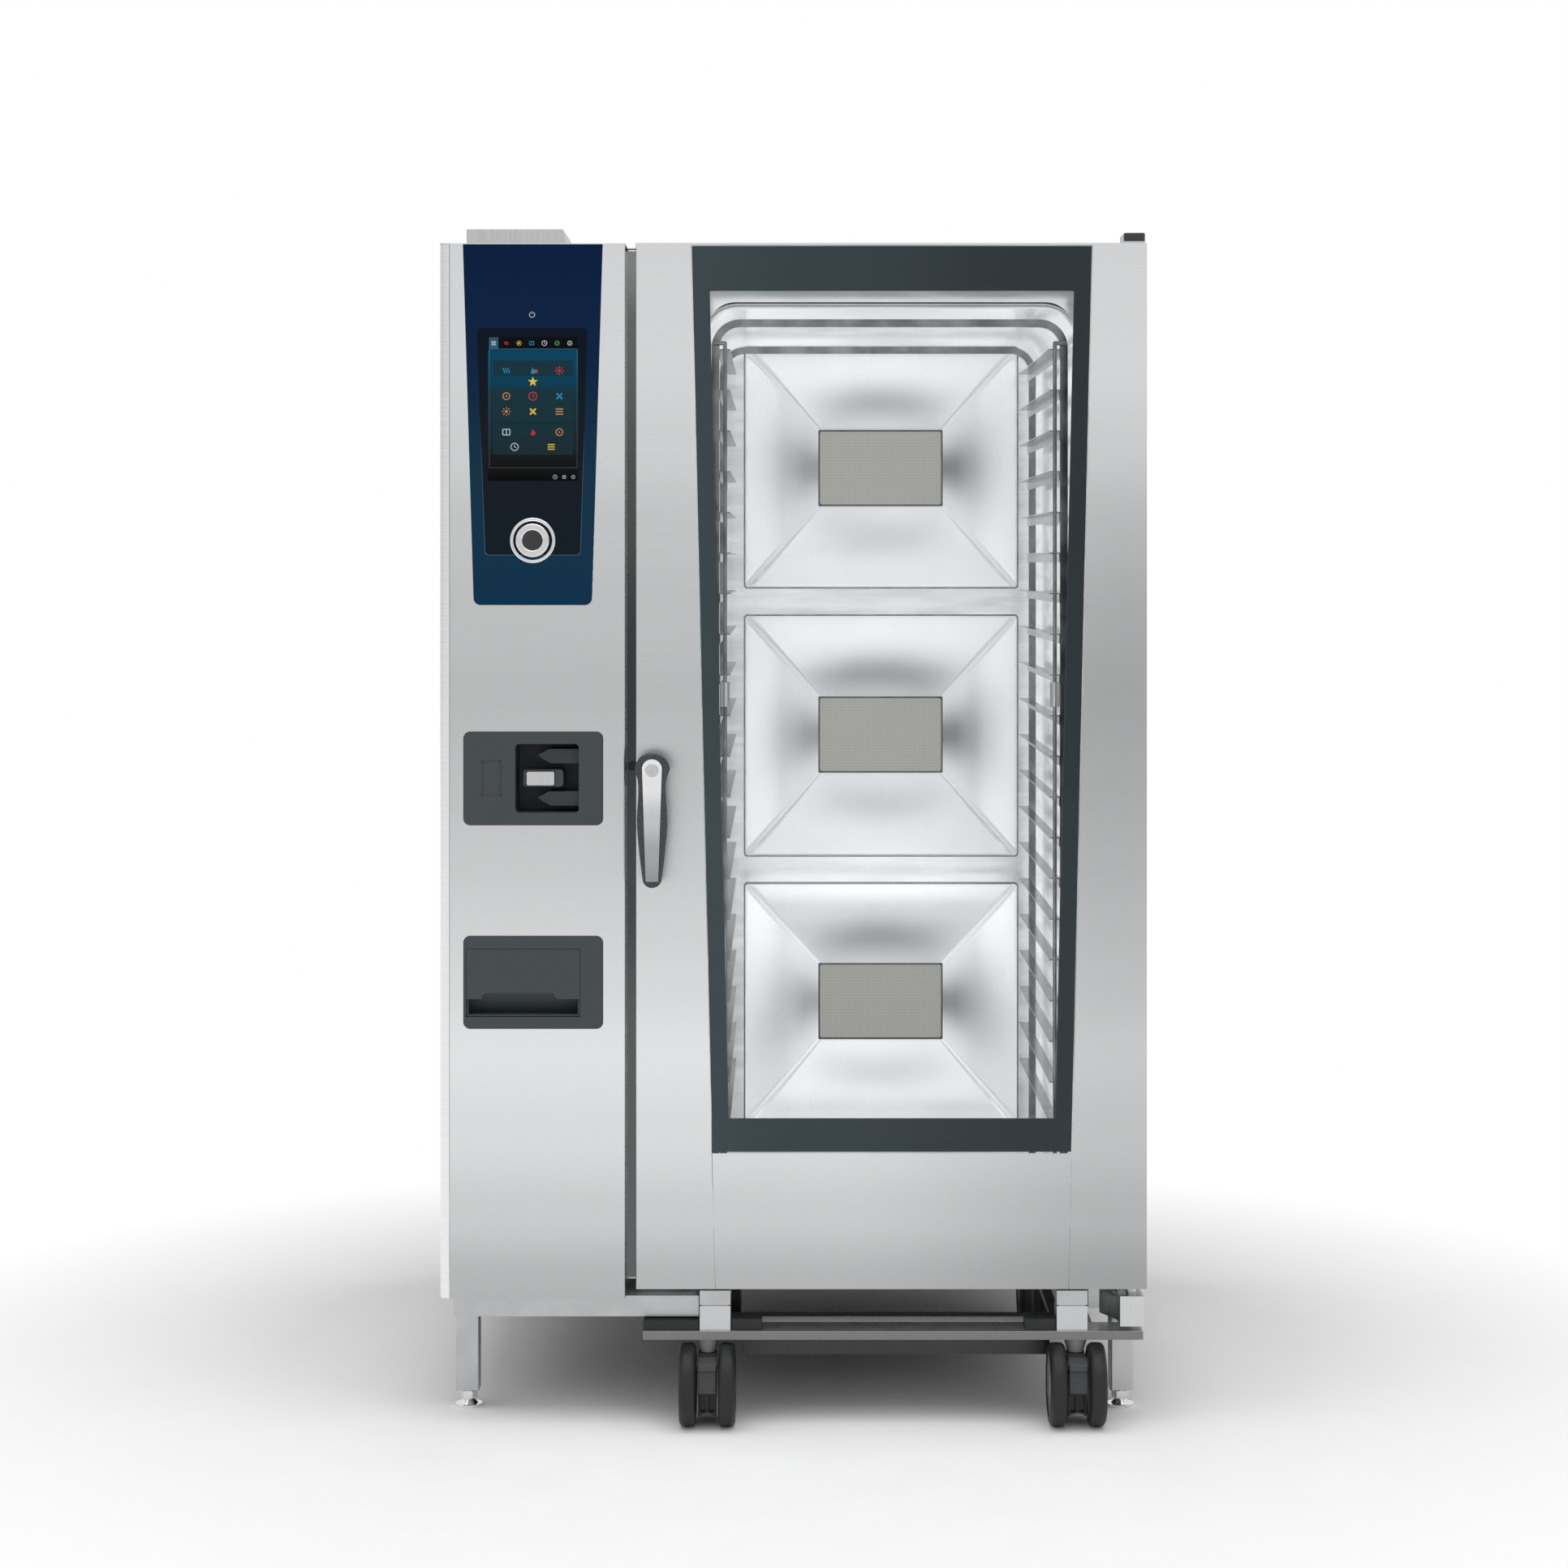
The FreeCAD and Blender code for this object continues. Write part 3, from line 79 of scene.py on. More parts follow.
def noise(tree, scale, stretch=(1, 1, 1), detail=3.0):
    """Noise in the row frame's own coordinates, stretched into streaks where asked."""
    where = tree.nodes.new("ShaderNodeTexCoord")
    mapping = tree.nodes.new("ShaderNodeMapping")
    mapping.inputs["Scale"].default_value = stretch
    texture = add_node(tree, "TexNoise", Scale=scale, Detail=detail, Roughness=0.55)
    tree.links.new(where.outputs["Object"], mapping.inputs["Vector"])
    tree.links.new(mapping.outputs["Vector"], texture.inputs["Vector"])
    return texture


def ramp(tree, source, stops, smooth=True):
    """Colour ramp fed by source; stops are (position, colour)."""
    made = tree.nodes.new("ShaderNodeValToRGB")
    made.color_ramp.interpolation = "EASE" if smooth else "LINEAR"
    elements = made.color_ramp.elements
    while len(elements) < len(stops):
        elements.new(0.5)
    for element, (position, colour) in zip(elements, stops):
        element.position = position
        element.color = (*colour, 1.0)
    tree.links.new(source, made.inputs["Fac"])
    return made


def rescale(tree, source, low, high, from_low=0.0, from_high=1.0):
    made = tree.nodes.new("ShaderNodeMapRange")
    made.inputs["From Min"].default_value = from_low
    made.inputs["From Max"].default_value = from_high
    made.inputs["To Min"].default_value = low
    made.inputs["To Max"].default_value = high
    tree.links.new(source, made.inputs["Value"])
    return made.outputs["Result"]


def multiply(tree, a, b):
    made = tree.nodes.new("ShaderNodeMix")
    made.data_type = "RGBA"
    made.blend_type = "MULTIPLY"
    made.inputs["Factor"].default_value = 1.0
    tree.links.new(a, made.inputs["A"])
    tree.links.new(b, made.inputs["B"])
    return made.outputs["Result"]


def surface(name, dark, light, metallic=0.0, rough=(0.4, 0.5), scale=30.0, stretch=(1, 1, 1), bump=0.0,
            coat=0.0, emission=0.0):
    """General finish: two tones and two roughnesses mixed by noise, with optional bump, clear coat and a glow
    in the same tones, which is painted light.
    """
    mat, tree, out = material(name)
    grain = noise(tree, scale, stretch)
    tones = ramp(tree, grain.outputs["Fac"], [(0.3, dark), (0.7, light)])
    shader = add_node(tree, "BsdfPrincipled", Metallic=metallic, Coat_Weight=coat, Coat_Roughness=0.08)
    tree.links.new(tones.outputs["Color"], shader.inputs["Base Color"])
    tree.links.new(rescale(tree, grain.outputs["Fac"], rough[0], rough[1], 0.3, 0.7),
                   shader.inputs["Roughness"])
    if bump:
        lift = add_node(tree, "Bump", Strength=bump, Distance=0.0005)
        tree.links.new(grain.outputs["Fac"], lift.inputs["Height"])
        tree.links.new(lift.outputs["Normal"], shader.inputs["Normal"])
    if emission:
        tree.links.new(tones.outputs["Color"], shader.inputs["Emission Color"])
        shader.inputs["Emission Strength"].default_value = emission
    tree.links.new(shader.outputs["BSDF"], out.inputs["Surface"])
    return mat


def grey(value, tint=0.0):
    """A grey, slightly blue when tint is positive."""
    return (value * (1 - tint), value, value * (1 + tint * 0.8))


# Brightness of the soft studio reflection on upright panels: (height, brightness) from foot to top.
PAINTED_PANEL_REFLECTION = [(0.15, 0.44), (0.22, 0.49), (0.32, 0.62), (0.44, 0.73), (0.57, 0.80), (0.68, 0.735),
              (0.76, 0.70),
              (0.86, 0.66), (0.99, 0.625), (1.11, 0.605), (1.235, 0.66), (1.37, 0.72), (1.50, 0.83),
              (1.62, 0.885), (1.73, 0.875), (1.84, 0.85)]


def panel_steel(name, painted_right_shade=0.0, rough=0.27):
    """Brushed stainless sheet: fine horizontal grain under a painted reflection that changes with height,
    with painted shade towards the right where asked.
    """
    mat, tree, out = material(name)
    where = tree.nodes.new("ShaderNodeTexCoord")
    axes = tree.nodes.new("ShaderNodeSeparateXYZ")
    tree.links.new(where.outputs["Object"], axes.inputs["Vector"])
    height = rescale(tree, axes.outputs["Z"], 0.0, 1.0, 0.0, 1.9)
    # Painted reflection: the sheet's tone follows height.
    fade = ramp(tree, height, [(z / 1.9, grey(v, 0.012)) for z, v in PAINTED_PANEL_REFLECTION])
    grain = noise(tree, 1.0, (6.0, 6.0, 900.0), 2.0)
    streak = ramp(tree, grain.outputs["Fac"], [(0.2, grey(0.985)), (0.8, grey(1.0))])
    tone = multiply(tree, fade.outputs["Color"], streak.outputs["Color"])
    # Painted shade: darker towards the right, fully below 1.15 m and fading out by 1.62 m.
    if painted_right_shade:
        across = rescale(tree, axes.outputs["X"], 0.0, 1.0, 0.05, 0.50)
        below = rescale(tree, axes.outputs["Z"], 1.0, 0.0, 1.15, 1.62)
        share = tree.nodes.new("ShaderNodeMath")
        share.operation = "MULTIPLY"
        tree.links.new(across, share.inputs[0])
        tree.links.new(below, share.inputs[1])
        side = ramp(tree, share.outputs["Value"], [(0.0, grey(1.0)), (1.0, grey(1.0 - painted_right_shade))])
        tone = multiply(tree, tone, side.outputs["Color"])
    shader = add_node(tree, "BsdfPrincipled", Metallic=1.0, Anisotropic=0.55)
    tree.links.new(tone, shader.inputs["Base Color"])
    tree.links.new(rescale(tree, grain.outputs["Fac"], rough - 0.03, rough + 0.05, 0.2, 0.8),
                   shader.inputs["Roughness"])
    lift = add_node(tree, "Bump", Strength=0.05, Distance=0.0002)
    tree.links.new(grain.outputs["Fac"], lift.inputs["Height"])
    tree.links.new(lift.outputs["Normal"], shader.inputs["Normal"])
    tree.links.new(shader.outputs["BSDF"], out.inputs["Surface"])
    return mat


def window_glass(name, tint, gloss):
    """Thin glass that lets light and shadow rays straight through, with a faint mirror on top."""
    mat, tree, out = material(name)
    smear = noise(tree, 3.0, (1, 1, 0.4))
    clear = add_node(tree, "BsdfTransparent")
    tones = ramp(tree, smear.outputs["Fac"], [(0.3, tint), (0.7, tuple(min(1.0, c * 1.01) for c in tint))])
    tree.links.new(tones.outputs["Color"], clear.inputs["Color"])
    mirror = add_node(tree, "BsdfGlossy", Roughness=0.03)
    edge = add_node(tree, "Fresnel", IOR=1.45)
    strength = rescale(tree, edge.outputs["Fac"], 0.0, gloss)
    mix = tree.nodes.new("ShaderNodeMixShader")
    tree.links.new(strength, mix.inputs["Fac"])
    tree.links.new(clear.outputs["BSDF"], mix.inputs[1])
    tree.links.new(mirror.outputs["BSDF"], mix.inputs[2])
    tree.links.new(mix.outputs["Shader"], out.inputs["Surface"])
    return mat


def upright_fade(name, stops, metallic=0.0, rough=0.15, coat=0.0, emission=0.0, span=(0.0, 1.9)):
    """Colour that changes with height; stops are (height, colour). Used for glass prints and the screen."""
    mat, tree, out = material(name)
    where = tree.nodes.new("ShaderNodeTexCoord")
    axes = tree.nodes.new("ShaderNodeSeparateXYZ")
    tree.links.new(where.outputs["Object"], axes.inputs["Vector"])
    height = rescale(tree, axes.outputs["Z"], 0.0, 1.0, *span)
    grain = noise(tree, 60.0)
    tones = ramp(tree, height, [((z - span[0]) / (span[1] - span[0]), c) for z, c in stops])
    veil = ramp(tree, grain.outputs["Fac"], [(0.3, grey(0.97)), (0.7, grey(1.0))])
    tone = multiply(tree, tones.outputs["Color"], veil.outputs["Color"])
    shader = add_node(tree, "BsdfPrincipled", Metallic=metallic, Roughness=rough, Coat_Weight=coat)
    if emission:
        shader.inputs["Base Color"].default_value = (0.001, 0.001, 0.001, 1.0)
        shader.inputs["Specular IOR Level"].default_value = 0.04
        tree.links.new(tone, shader.inputs["Emission Color"])
        shader.inputs["Emission Strength"].default_value = emission
    else:
        tree.links.new(tone, shader.inputs["Base Color"])
    tree.links.new(shader.outputs["BSDF"], out.inputs["Surface"])
    return mat


def glow(name, stops, span=(0.0, 1.9)):
    """Colour that keeps its own brightness whatever the light: screen, backlit print, deep glass tint. On the
    control glass and in the slot the glow and its change with height are painted light and shade.
    """
    return upright_fade(name, stops, rough=0.2, emission=1.0, span=span)


def banded(name, stops, metallic, rough, scale=40.0, soft=False):
    """Tone that steps with height: stops are (height, colour), each held up to the next height. On the rack
    base the steps are painted shade and a painted highlight.
    """
    mat, tree, out = material(name)
    where = tree.nodes.new("ShaderNodeTexCoord")
    axes = tree.nodes.new("ShaderNodeSeparateXYZ")
    tree.links.new(where.outputs["Object"], axes.inputs["Vector"])
    low, high = stops[0][0], stops[-1][0] + 0.05
    height = rescale(tree, axes.outputs["Z"], 0.0, 1.0, low, high)
    tones = ramp(tree, height, [((z - low) / (high - low), c) for z, c in stops], soft)
    if not soft:
        tones.color_ramp.interpolation = "CONSTANT"
    grain = noise(tree, scale)
    veil = ramp(tree, grain.outputs["Fac"], [(0.3, grey(0.94)), (0.7, grey(1.0))])
    tone = multiply(tree, tones.outputs["Color"], veil.outputs["Color"])
    shader = add_node(tree, "BsdfPrincipled", Metallic=metallic)
    tree.links.new(tone, shader.inputs["Base Color"])
    tree.links.new(rescale(tree, grain.outputs["Fac"], rough[0], rough[1], 0.3, 0.7),
                   shader.inputs["Roughness"])
    tree.links.new(shader.outputs["BSDF"], out.inputs["Surface"])
    return mat


STEEL_COVER = panel_steel("steel_cover")
STEEL_DOOR = panel_steel("steel_door", painted_right_shade=0.24)
STEEL_SIDE = surface("steel_side", grey(0.80), grey(0.88), 1.0, (0.22, 0.30), 1.0, (6, 6, 700))
STEEL_PLAIN = surface("steel_plain", grey(0.58, 0.01), grey(0.68, 0.01), 1.0, (0.24, 0.34), 1.0,
                      (700, 6, 6), 0.03)
STEEL_BASE = surface("steel_base", grey(0.48, 0.02), grey(0.55, 0.02), 1.0, (0.28, 0.38), 22.0, (1, 1, 1),
                     0.02)
# The chamber steel glows (emission 0.30): painted light inside the chamber, shared by the door's inner frame.
STEEL_CHAMBER = surface("steel_chamber", grey(0.70, 0.010), grey(0.86, 0.010), 1.0, (0.16, 0.26), 6.0,
                        (1, 1, 6), emission=0.30)


def pressed_steel():
    """Bright sheet of the baffles: soft reflection and a glow, both following a painted reflection tone
    stored on the vertices; the glow is painted light.
    """
    mat, tree, out = material("steel_baffle")
    # Reads the painted reflection tone stored on the baffle vertices.
    press = tree.nodes.new("ShaderNodeVertexColor")
    press.layer_name = "painted_reflection_tone"
    haze = noise(tree, 5.0)
    sheet = ramp(tree, haze.outputs["Fac"], [(0.3, (0.52, 0.525, 0.54)), (0.7, (0.57, 0.575, 0.59))])
    tone = multiply(tree, press.outputs["Color"], sheet.outputs["Color"])
    # The glow (emission 0.78) is painted light inside the chamber.
    shader = add_node(tree, "BsdfPrincipled", Metallic=1.0, Emission_Strength=0.78)
    tree.links.new(tone, shader.inputs["Base Color"])
    tree.links.new(tone, shader.inputs["Emission Color"])
    tree.links.new(rescale(tree, haze.outputs["Fac"], 0.24, 0.30, 0.3, 0.7), shader.inputs["Roughness"])
    tree.links.new(shader.outputs["BSDF"], out.inputs["Surface"])
    return mat


STEEL_BAFFLE = pressed_steel()
# Rack steel kept dark, 0.17 to 0.36: painted shade that sets the rails apart from the glowing chamber.
STEEL_RACK = surface("steel_rack", grey(0.17, 0.02), grey(0.36, 0.02), 1.0, (0.14, 0.24), 25.0)
POLISHED = surface("polished", grey(0.80), grey(0.92), 1.0, (0.07, 0.14), 40.0)
SATIN = surface("satin_metal", grey(0.55), grey(0.66), 1.0, (0.2, 0.3), 1.0, (500, 6, 6))
PLASTIC_FRAME = surface("plastic_frame", (0.032, 0.042, 0.049), (0.041, 0.051, 0.058), 0.0, (0.42, 0.52),
                        900.0, (1, 1, 1), 0.15)
PLASTIC_DARK = surface("plastic_dark", (0.006, 0.008, 0.010), (0.012, 0.015, 0.018), 0.0, (0.35, 0.5),
                       700.0, (1, 1, 1), 0.1)
PLASTIC_GRIP = surface("plastic_grip", (0.045, 0.050, 0.056), (0.075, 0.080, 0.088), 0.7, (0.22, 0.3), 300.0)
# Handle plate tone rising with height from dark grey to near white: painted reflection.
HANDLE_PLATE = upright_fade("handle_plate", [(0.82, grey(0.30, 0.03)), (0.88, grey(0.42, 0.03)),
                                             (0.93, grey(0.62, 0.02)), (0.98, grey(0.90)),
                                             (1.03, grey(0.96))], metallic=1.0, rough=0.20)
CASTER_BODY = banded("caster_body", [(0.0, (0.012, 0.013, 0.014)), (0.052, (0.030, 0.033, 0.035)),
                                     (0.1085, (0.42, 0.43, 0.42))],
                     0.15, (0.30, 0.42))
PEDAL = surface("pedal", (0.038, 0.042, 0.045), (0.055, 0.059, 0.062), 0.0, (0.28, 0.38), 500.0)
CASTER_TYRE = surface("caster_tyre", (0.004, 0.0045, 0.005), (0.007, 0.0075, 0.008), 0.0, (0.42, 0.55),
                      400.0, (1, 1, 1), 0.1)
CASTER_HUB = surface("caster_hub", (0.15, 0.16, 0.165), (0.20, 0.21, 0.215), 0.0, (0.3, 0.4), 200.0)
# Rack base by height: a near-black skirt and a dark bar as painted shade under the oven, and a light top edge
# as painted highlight.
RACK_BASE_SHADE_AND_HIGHLIGHT = banded("rack_base_steel", [(0.06, grey(0.065)), (0.1295, grey(0.22)),
                                       (0.1425, grey(0.62, 0.02))], 0.9, (0.26, 0.36))
# Near-black insulation: painted shade in the space under the chamber.
INSULATION_PAINTED_SHADE = surface("insulation_painted_shade", grey(0.035), grey(0.055), 0.3, (0.5, 0.6), 60.0, (1, 1, 1), 0.3)
RUBBER = surface("rubber", (0.012, 0.013, 0.014), (0.022, 0.023, 0.024), 0.0, (0.6, 0.75), 300.0, (1, 1, 1),
                 0.2)
BLACK_GLOSS = surface("black_gloss", (0.006, 0.007, 0.009), (0.011, 0.012, 0.015), 0.0, (0.08, 0.14), 50.0,
                      coat=0.6)
MOTOR = surface("motor_paint", (0.05, 0.06, 0.08), (0.08, 0.09, 0.11), 0.2, (0.4, 0.5), 80.0, (1, 1, 1), 0.1)
BRASS = surface("brass", (0.62, 0.46, 0.18), (0.72, 0.56, 0.26), 1.0, (0.25, 0.35), 90.0)
GLASS = window_glass("window_clear", (0.984, 0.988, 0.988), 0.30)
def glass_print(name, left, right):
    """Dark print behind glass, paler towards the left, where the studio wall shows in it."""
    mat, tree, out = material(name)
    where = tree.nodes.new("ShaderNodeTexCoord")
    axes = tree.nodes.new("ShaderNodeSeparateXYZ")
    tree.links.new(where.outputs["Object"], axes.inputs["Vector"])
    across = rescale(tree, axes.outputs["X"], 0.0, 1.0, -0.16, 0.40)
    tones = ramp(tree, across, [(0.0, left), (0.35, tuple((a + b) / 2 for a, b in zip(left, right))),
                                (1.0, right)])
    haze = noise(tree, 2.5, (1, 1, 0.3))
    veil = ramp(tree, haze.outputs["Fac"], [(0.3, grey(0.93)), (0.7, grey(1.0))])
    tone = multiply(tree, tones.outputs["Color"], veil.outputs["Color"])
    shader = add_node(tree, "BsdfPrincipled", Roughness=0.12)
    shader.inputs["Base Color"].default_value = (0.001, 0.001, 0.001, 1.0)
    shader.inputs["Specular IOR Level"].default_value = 0.06
    shader.inputs["Emission Strength"].default_value = 1.0
    tree.links.new(tone, shader.inputs["Emission Color"])
    tree.links.new(shader.outputs["BSDF"], out.inputs["Surface"])
    return mat


BORDER = glass_print("glass_print", (0.036, 0.054, 0.062), (0.017, 0.026, 0.032))
# The control glass and its dark field glow with a tone that changes with height: the blue and black are the
# print, the glow and its change with height are painted reflection.
CONTROL_BLUE = glow("control_blue", [(1.24, (0.0030, 0.0284, 0.0685)), (1.35, (0.0045, 0.0300, 0.0640)),
                                     (1.45, (0.0055, 0.0300, 0.0600)), (1.65, (0.0024, 0.0153, 0.0520)),
                                     (1.81, (0.0008, 0.0110, 0.0440))])
CONTROL_BLACK = glow("control_black", [(1.32, (0.0040, 0.0110, 0.0180)), (1.42, (0.0065, 0.0105, 0.0160)),
                                       (1.50, (0.0060, 0.0095, 0.0140)), (1.68, (0.0020, 0.0065, 0.0140))])
# The slot strip and strike cover glow with a tone set by height: painted shade and light in the slot, darkest
# near mid-height.
SLOT_PAINTED_SHADE = glow("slot_dark", [(0.20, (0.112, 0.115, 0.118)), (0.56, (0.104, 0.106, 0.106)),
                               (0.81, (0.060, 0.062, 0.064)),
                               (1.06, (0.038, 0.041, 0.043)), (1.18, (0.040, 0.042, 0.044)),
                               (1.43, (0.075, 0.079, 0.079)),
                               (1.68, (0.115, 0.122, 0.120)), (1.78, (0.200, 0.205, 0.200))])


# ---------------------------------------------------------------- mesh helpers
def mesh_object(name, verts, faces, mat, smooth=False):
    data = bpy.data.meshes.new(name)
    data.from_pydata([tuple(v) for v in verts], [], faces)
    data.validate()
    data.update()
    data.materials.append(mat)
    obj = bpy.data.objects.new(name, data)
    bpy.context.scene.collection.objects.link(obj)
    if smooth:
        data.shade_smooth()
    return obj


def bevel(obj, width, segments=2, angle=35.0):
    """Rounded edges; on a CAD node this is a modifier, so its own mesh stays as it is."""
    made = obj.modifiers.new("bevel", "BEVEL")
    made.width = width
    made.segments = segments
    made.limit_method = "ANGLE"
    made.angle_limit = math.radians(angle)
    made.harden_normals = False
    return obj


def prism(verts, faces, outline, y0, y1):
    """Adds a block whose outline is a list of (x, z) points, counter-clockwise seen from the front."""
    start, n = len(verts), len(outline)
    verts += [(x, y0, z) for x, z in outline] + [(x, y1, z) for x, z in outline]
    faces.append([start + i for i in range(n)])
    faces.append([start + n + i for i in reversed(range(n))])
    for i in range(n):
        j = (i + 1) % n
        faces.append([start + i, start + n + i, start + n + j, start + j])


def plates(name, outlines, y0, y1, mat):
    """One object made of flat blocks that share a front and a back."""
    verts, faces = [], []
    for outline in outlines:
        prism(verts, faces, outline, y0, y1)
    return mesh_object(name, verts, faces, mat)


def disc(cx, cz, rx, rz=None, steps=24, turn=0.0):
    rz = rz or rx
    points = [(rx * math.cos(2 * math.pi * i / steps),
               rz * math.sin(2 * math.pi * i / steps)) for i in range(steps)]
    c, s = math.cos(turn), math.sin(turn)
    return [(cx + x * c - z * s, cz + x * s + z * c) for x, z in points]


def rounded(corners, radius, steps=6):
    """Rounds the corners of a convex outline given as (x, z) points."""
    out, n = [], len(corners)
    for i, here in enumerate(corners):
        before, after = Vector(corners[i - 1]), Vector(corners[(i + 1) % n])
        here = Vector(here)
        to_before, to_after = (before - here).normalized(), (after - here).normalized()
        half = to_before.angle(to_after) / 2
        if radius <= 0:
            out.append(tuple(here))
            continue
        reach = radius / math.tan(half)
        centre = here + (to_before + to_after).normalized() * (radius / math.sin(half))
        a, b = here + to_before * reach - centre, here + to_after * reach - centre
        sweep = a.angle_signed(b)
        for k in range(steps + 1):
            t = -sweep * k / steps
            out.append((centre.x + a.x * math.cos(t) - a.y * math.sin(t),
                        centre.y + a.x * math.sin(t) + a.y * math.cos(t)))
    return out


def rectangle(x0, x1, z0, z1):
    return [(x0, z0), (x1, z0), (x1, z1), (x0, z1)]


def box_outline(x0, x1, z0, z1, radius=0.0):
    return rounded([(x0, z0), (x1, z0), (x1, z1), (x0, z1)], radius)


def band(name, outer, inner, y0, y1, mat):
    """Flat closed band between two outlines with the same number of points."""
    n = len(outer)
    verts = [(x, y0, z) for x, z in outer] + [(x, y0, z) for x, z in inner]
    verts += [(x, y1, z) for x, z in outer] + [(x, y1, z) for x, z in inner]
    faces = []
    for i in range(n):
        j = (i + 1) % n
        faces += [[i, j, n + j, n + i], [2 * n + i, 3 * n + i, 3 * n + j, 2 * n + j],
                  [i, 2 * n + i, 2 * n + j, j], [n + i, n + j, 3 * n + j, 3 * n + i]]
    return mesh_object(name, verts, faces, mat)


def lathe(name, profile, centre, axis, mat, steps=72):
    """Turns a closed profile of (along, radius) points round an axis through centre."""
    along = Vector(axis).normalized()
    side = along.orthogonal().normalized()
    up = along.cross(side)
    verts, faces, n = [], [], len(profile)
    for i in range(steps):
        angle = 2 * math.pi * i / steps
        out = side * math.cos(angle) + up * math.sin(angle)
        verts += [Vector(centre) + along * a + out * r for a, r in profile]
    for i in range(steps):
        j = (i + 1) % steps
        for k in range(n):
            m = (k + 1) % n
            faces.append([i * n + k, i * n + m, j * n + m, j * n + k])
    made = mesh_object(name, verts, faces, mat, smooth=True)
    crease = made.modifiers.new("edges", "EDGE_SPLIT")
    crease.split_angle = math.radians(40)
    return made


# ---------------------------------------------------------------- CAD nodes: finishes and bevels
FINISHES = {
    "base_frame": STEEL_BASE, "legs": STEEL_BASE, "levelling_feet": POLISHED, "left_side_panel": STEEL_SIDE,
    "right_side_panel": STEEL_SIDE, "top_cover": STEEL_PLAIN, "rear_panel": STEEL_PLAIN,
    "vent_stack": STEEL_PLAIN,
    "front_cover": STEEL_COVER, "control_glass": CONTROL_BLUE, "touch_display": BLACK_GLOSS,
    "dial_bezel": POLISHED,
    "dial_ring": POLISHED, "dial_button": BLACK_GLOSS, "shower_module": PLASTIC_FRAME,
    "socket_flap": PLASTIC_FRAME,
    "shower_head": PLASTIC_FRAME, "shower_lever": SATIN, "care_frame": PLASTIC_FRAME,
    "care_drawer": PLASTIC_FRAME,
    "door_gasket": RUBBER, "cooking_chamber": STEEL_CHAMBER, "insulation": INSULATION_PAINTED_SHADE,
    "hinge_brackets": STEEL_PLAIN,
    "hinge_cap": BLACK_GLOSS, "door_skin": STEEL_DOOR, "door_inner_frame": STEEL_CHAMBER,
    "outer_glass": GLASS, "inner_glass": GLASS, "hinge_fittings": STEEL_PLAIN, "handle_grip": PLASTIC_GRIP,
    "handle_plate": HANDLE_PLATE,
    "handle_screw": SATIN, "latch_spindle": PLASTIC_DARK, "air_baffles": STEEL_BAFFLE, "fan_motors": MOTOR,
    "heating_coils": STEEL_PLAIN, "steam_generator": STEEL_PLAIN, "water_inlets": BRASS,
    "drain_pipes": PLASTIC_DARK,
    "rack_hoops": STEEL_RACK, "rack_rails": STEEL_RACK, "rack_frame": STEEL_BASE,
    "retaining_bars": STEEL_RACK,
    "rack_base": RACK_BASE_SHADE_AND_HIGHLIGHT, "bumper_pads": RUBBER, "fan_wheel_top": STEEL_PLAIN,
    "fan_wheel_middle": STEEL_PLAIN,
    "fan_wheel_bottom": STEEL_PLAIN, "brake_pedal_left": PEDAL, "brake_pedal_right": PEDAL,
}
for corner in ("front_left", "front_right", "rear_left", "rear_right"):
    FINISHES[f"caster_fork_{corner}"] = CASTER_BODY
    FINISHES[f"caster_wheels_{corner}"] = CASTER_TYRE

for node_name, finish in FINISHES.items():
    node = nodes[node_name]
    node.data.materials.clear()
    node.data.materials.append(finish)

SOFT_EDGES = {"base_frame": 0.002, "legs": 0.002, "vent_stack": 0.001, "care_drawer": 0.0012,
              "shower_module": 0.0008,
              "shower_head": 0.001, "care_frame": 0.0008, "rack_base": 0.001, "rack_frame": 0.0015,
              "rack_hoops": 0.001, "hinge_brackets": 0.0008, "latch_spindle": 0.0006, "shower_lever": 0.001}
for node_name, width in SOFT_EDGES.items():
    bevel(nodes[node_name], width)
for corner in ("front_left", "front_right", "rear_left", "rear_right"):
    bevel(nodes[f"caster_fork_{corner}"], 0.0015)


# ---------------------------------------------------------------- door window print
def trapezoid(half_foot, half_top, foot, top, cx=CENTRE_X):
    return [(cx - half_foot, foot), (cx + half_foot, foot), (cx + half_top, top), (cx - half_top, top)]


def door_print():
    """Dark printed border behind the outer pane, with the clear window left open."""
    outer = rounded(trapezoid(0.2745, 0.306, 0.4165, 1.8025), 0.0015)
    inner = rounded(trapezoid(0.2507, 0.2796, 0.4670, 1.7348), 0.002)
    made = band("window_print", outer, inner, PANE_Y + 0.0051, PANE_Y + 0.0057, BORDER)
    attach(made, "door")
    edge = band("window_edge_line", rounded(trapezoid(0.2507, 0.2796, 0.4670, 1.7348), 0.002),
                rounded(trapezoid(0.2497, 0.2786, 0.4680, 1.7338), 0.002), PANE_Y + 0.0053, PANE_Y + 0.0056,
                BLACK_GLOSS)
    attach(edge, "door")


door_print()


# ---------------------------------------------------------------- slot between cover and door
def slot_lining():
    """Dark strip at the bottom of the slot between the compartment cover and the door; its glowing tone is
    painted shade and light.
    """
    made = plates("slot_lining", [rectangle(-0.2640, -0.2412, 0.2080, 1.8020)], LINING_Y,
                  LINING_Y + 0.0022, SLOT_PAINTED_SHADE)
    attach(made, "cabinet")
    made = plates("strike_cover", [rectangle(-0.2567, -0.2414, *STRIKE_Z)], STRIKE_Y, STRIKE_Y + 0.0006,
                  SLOT_PAINTED_SHADE)
    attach(made, "cabinet")


slot_lining()


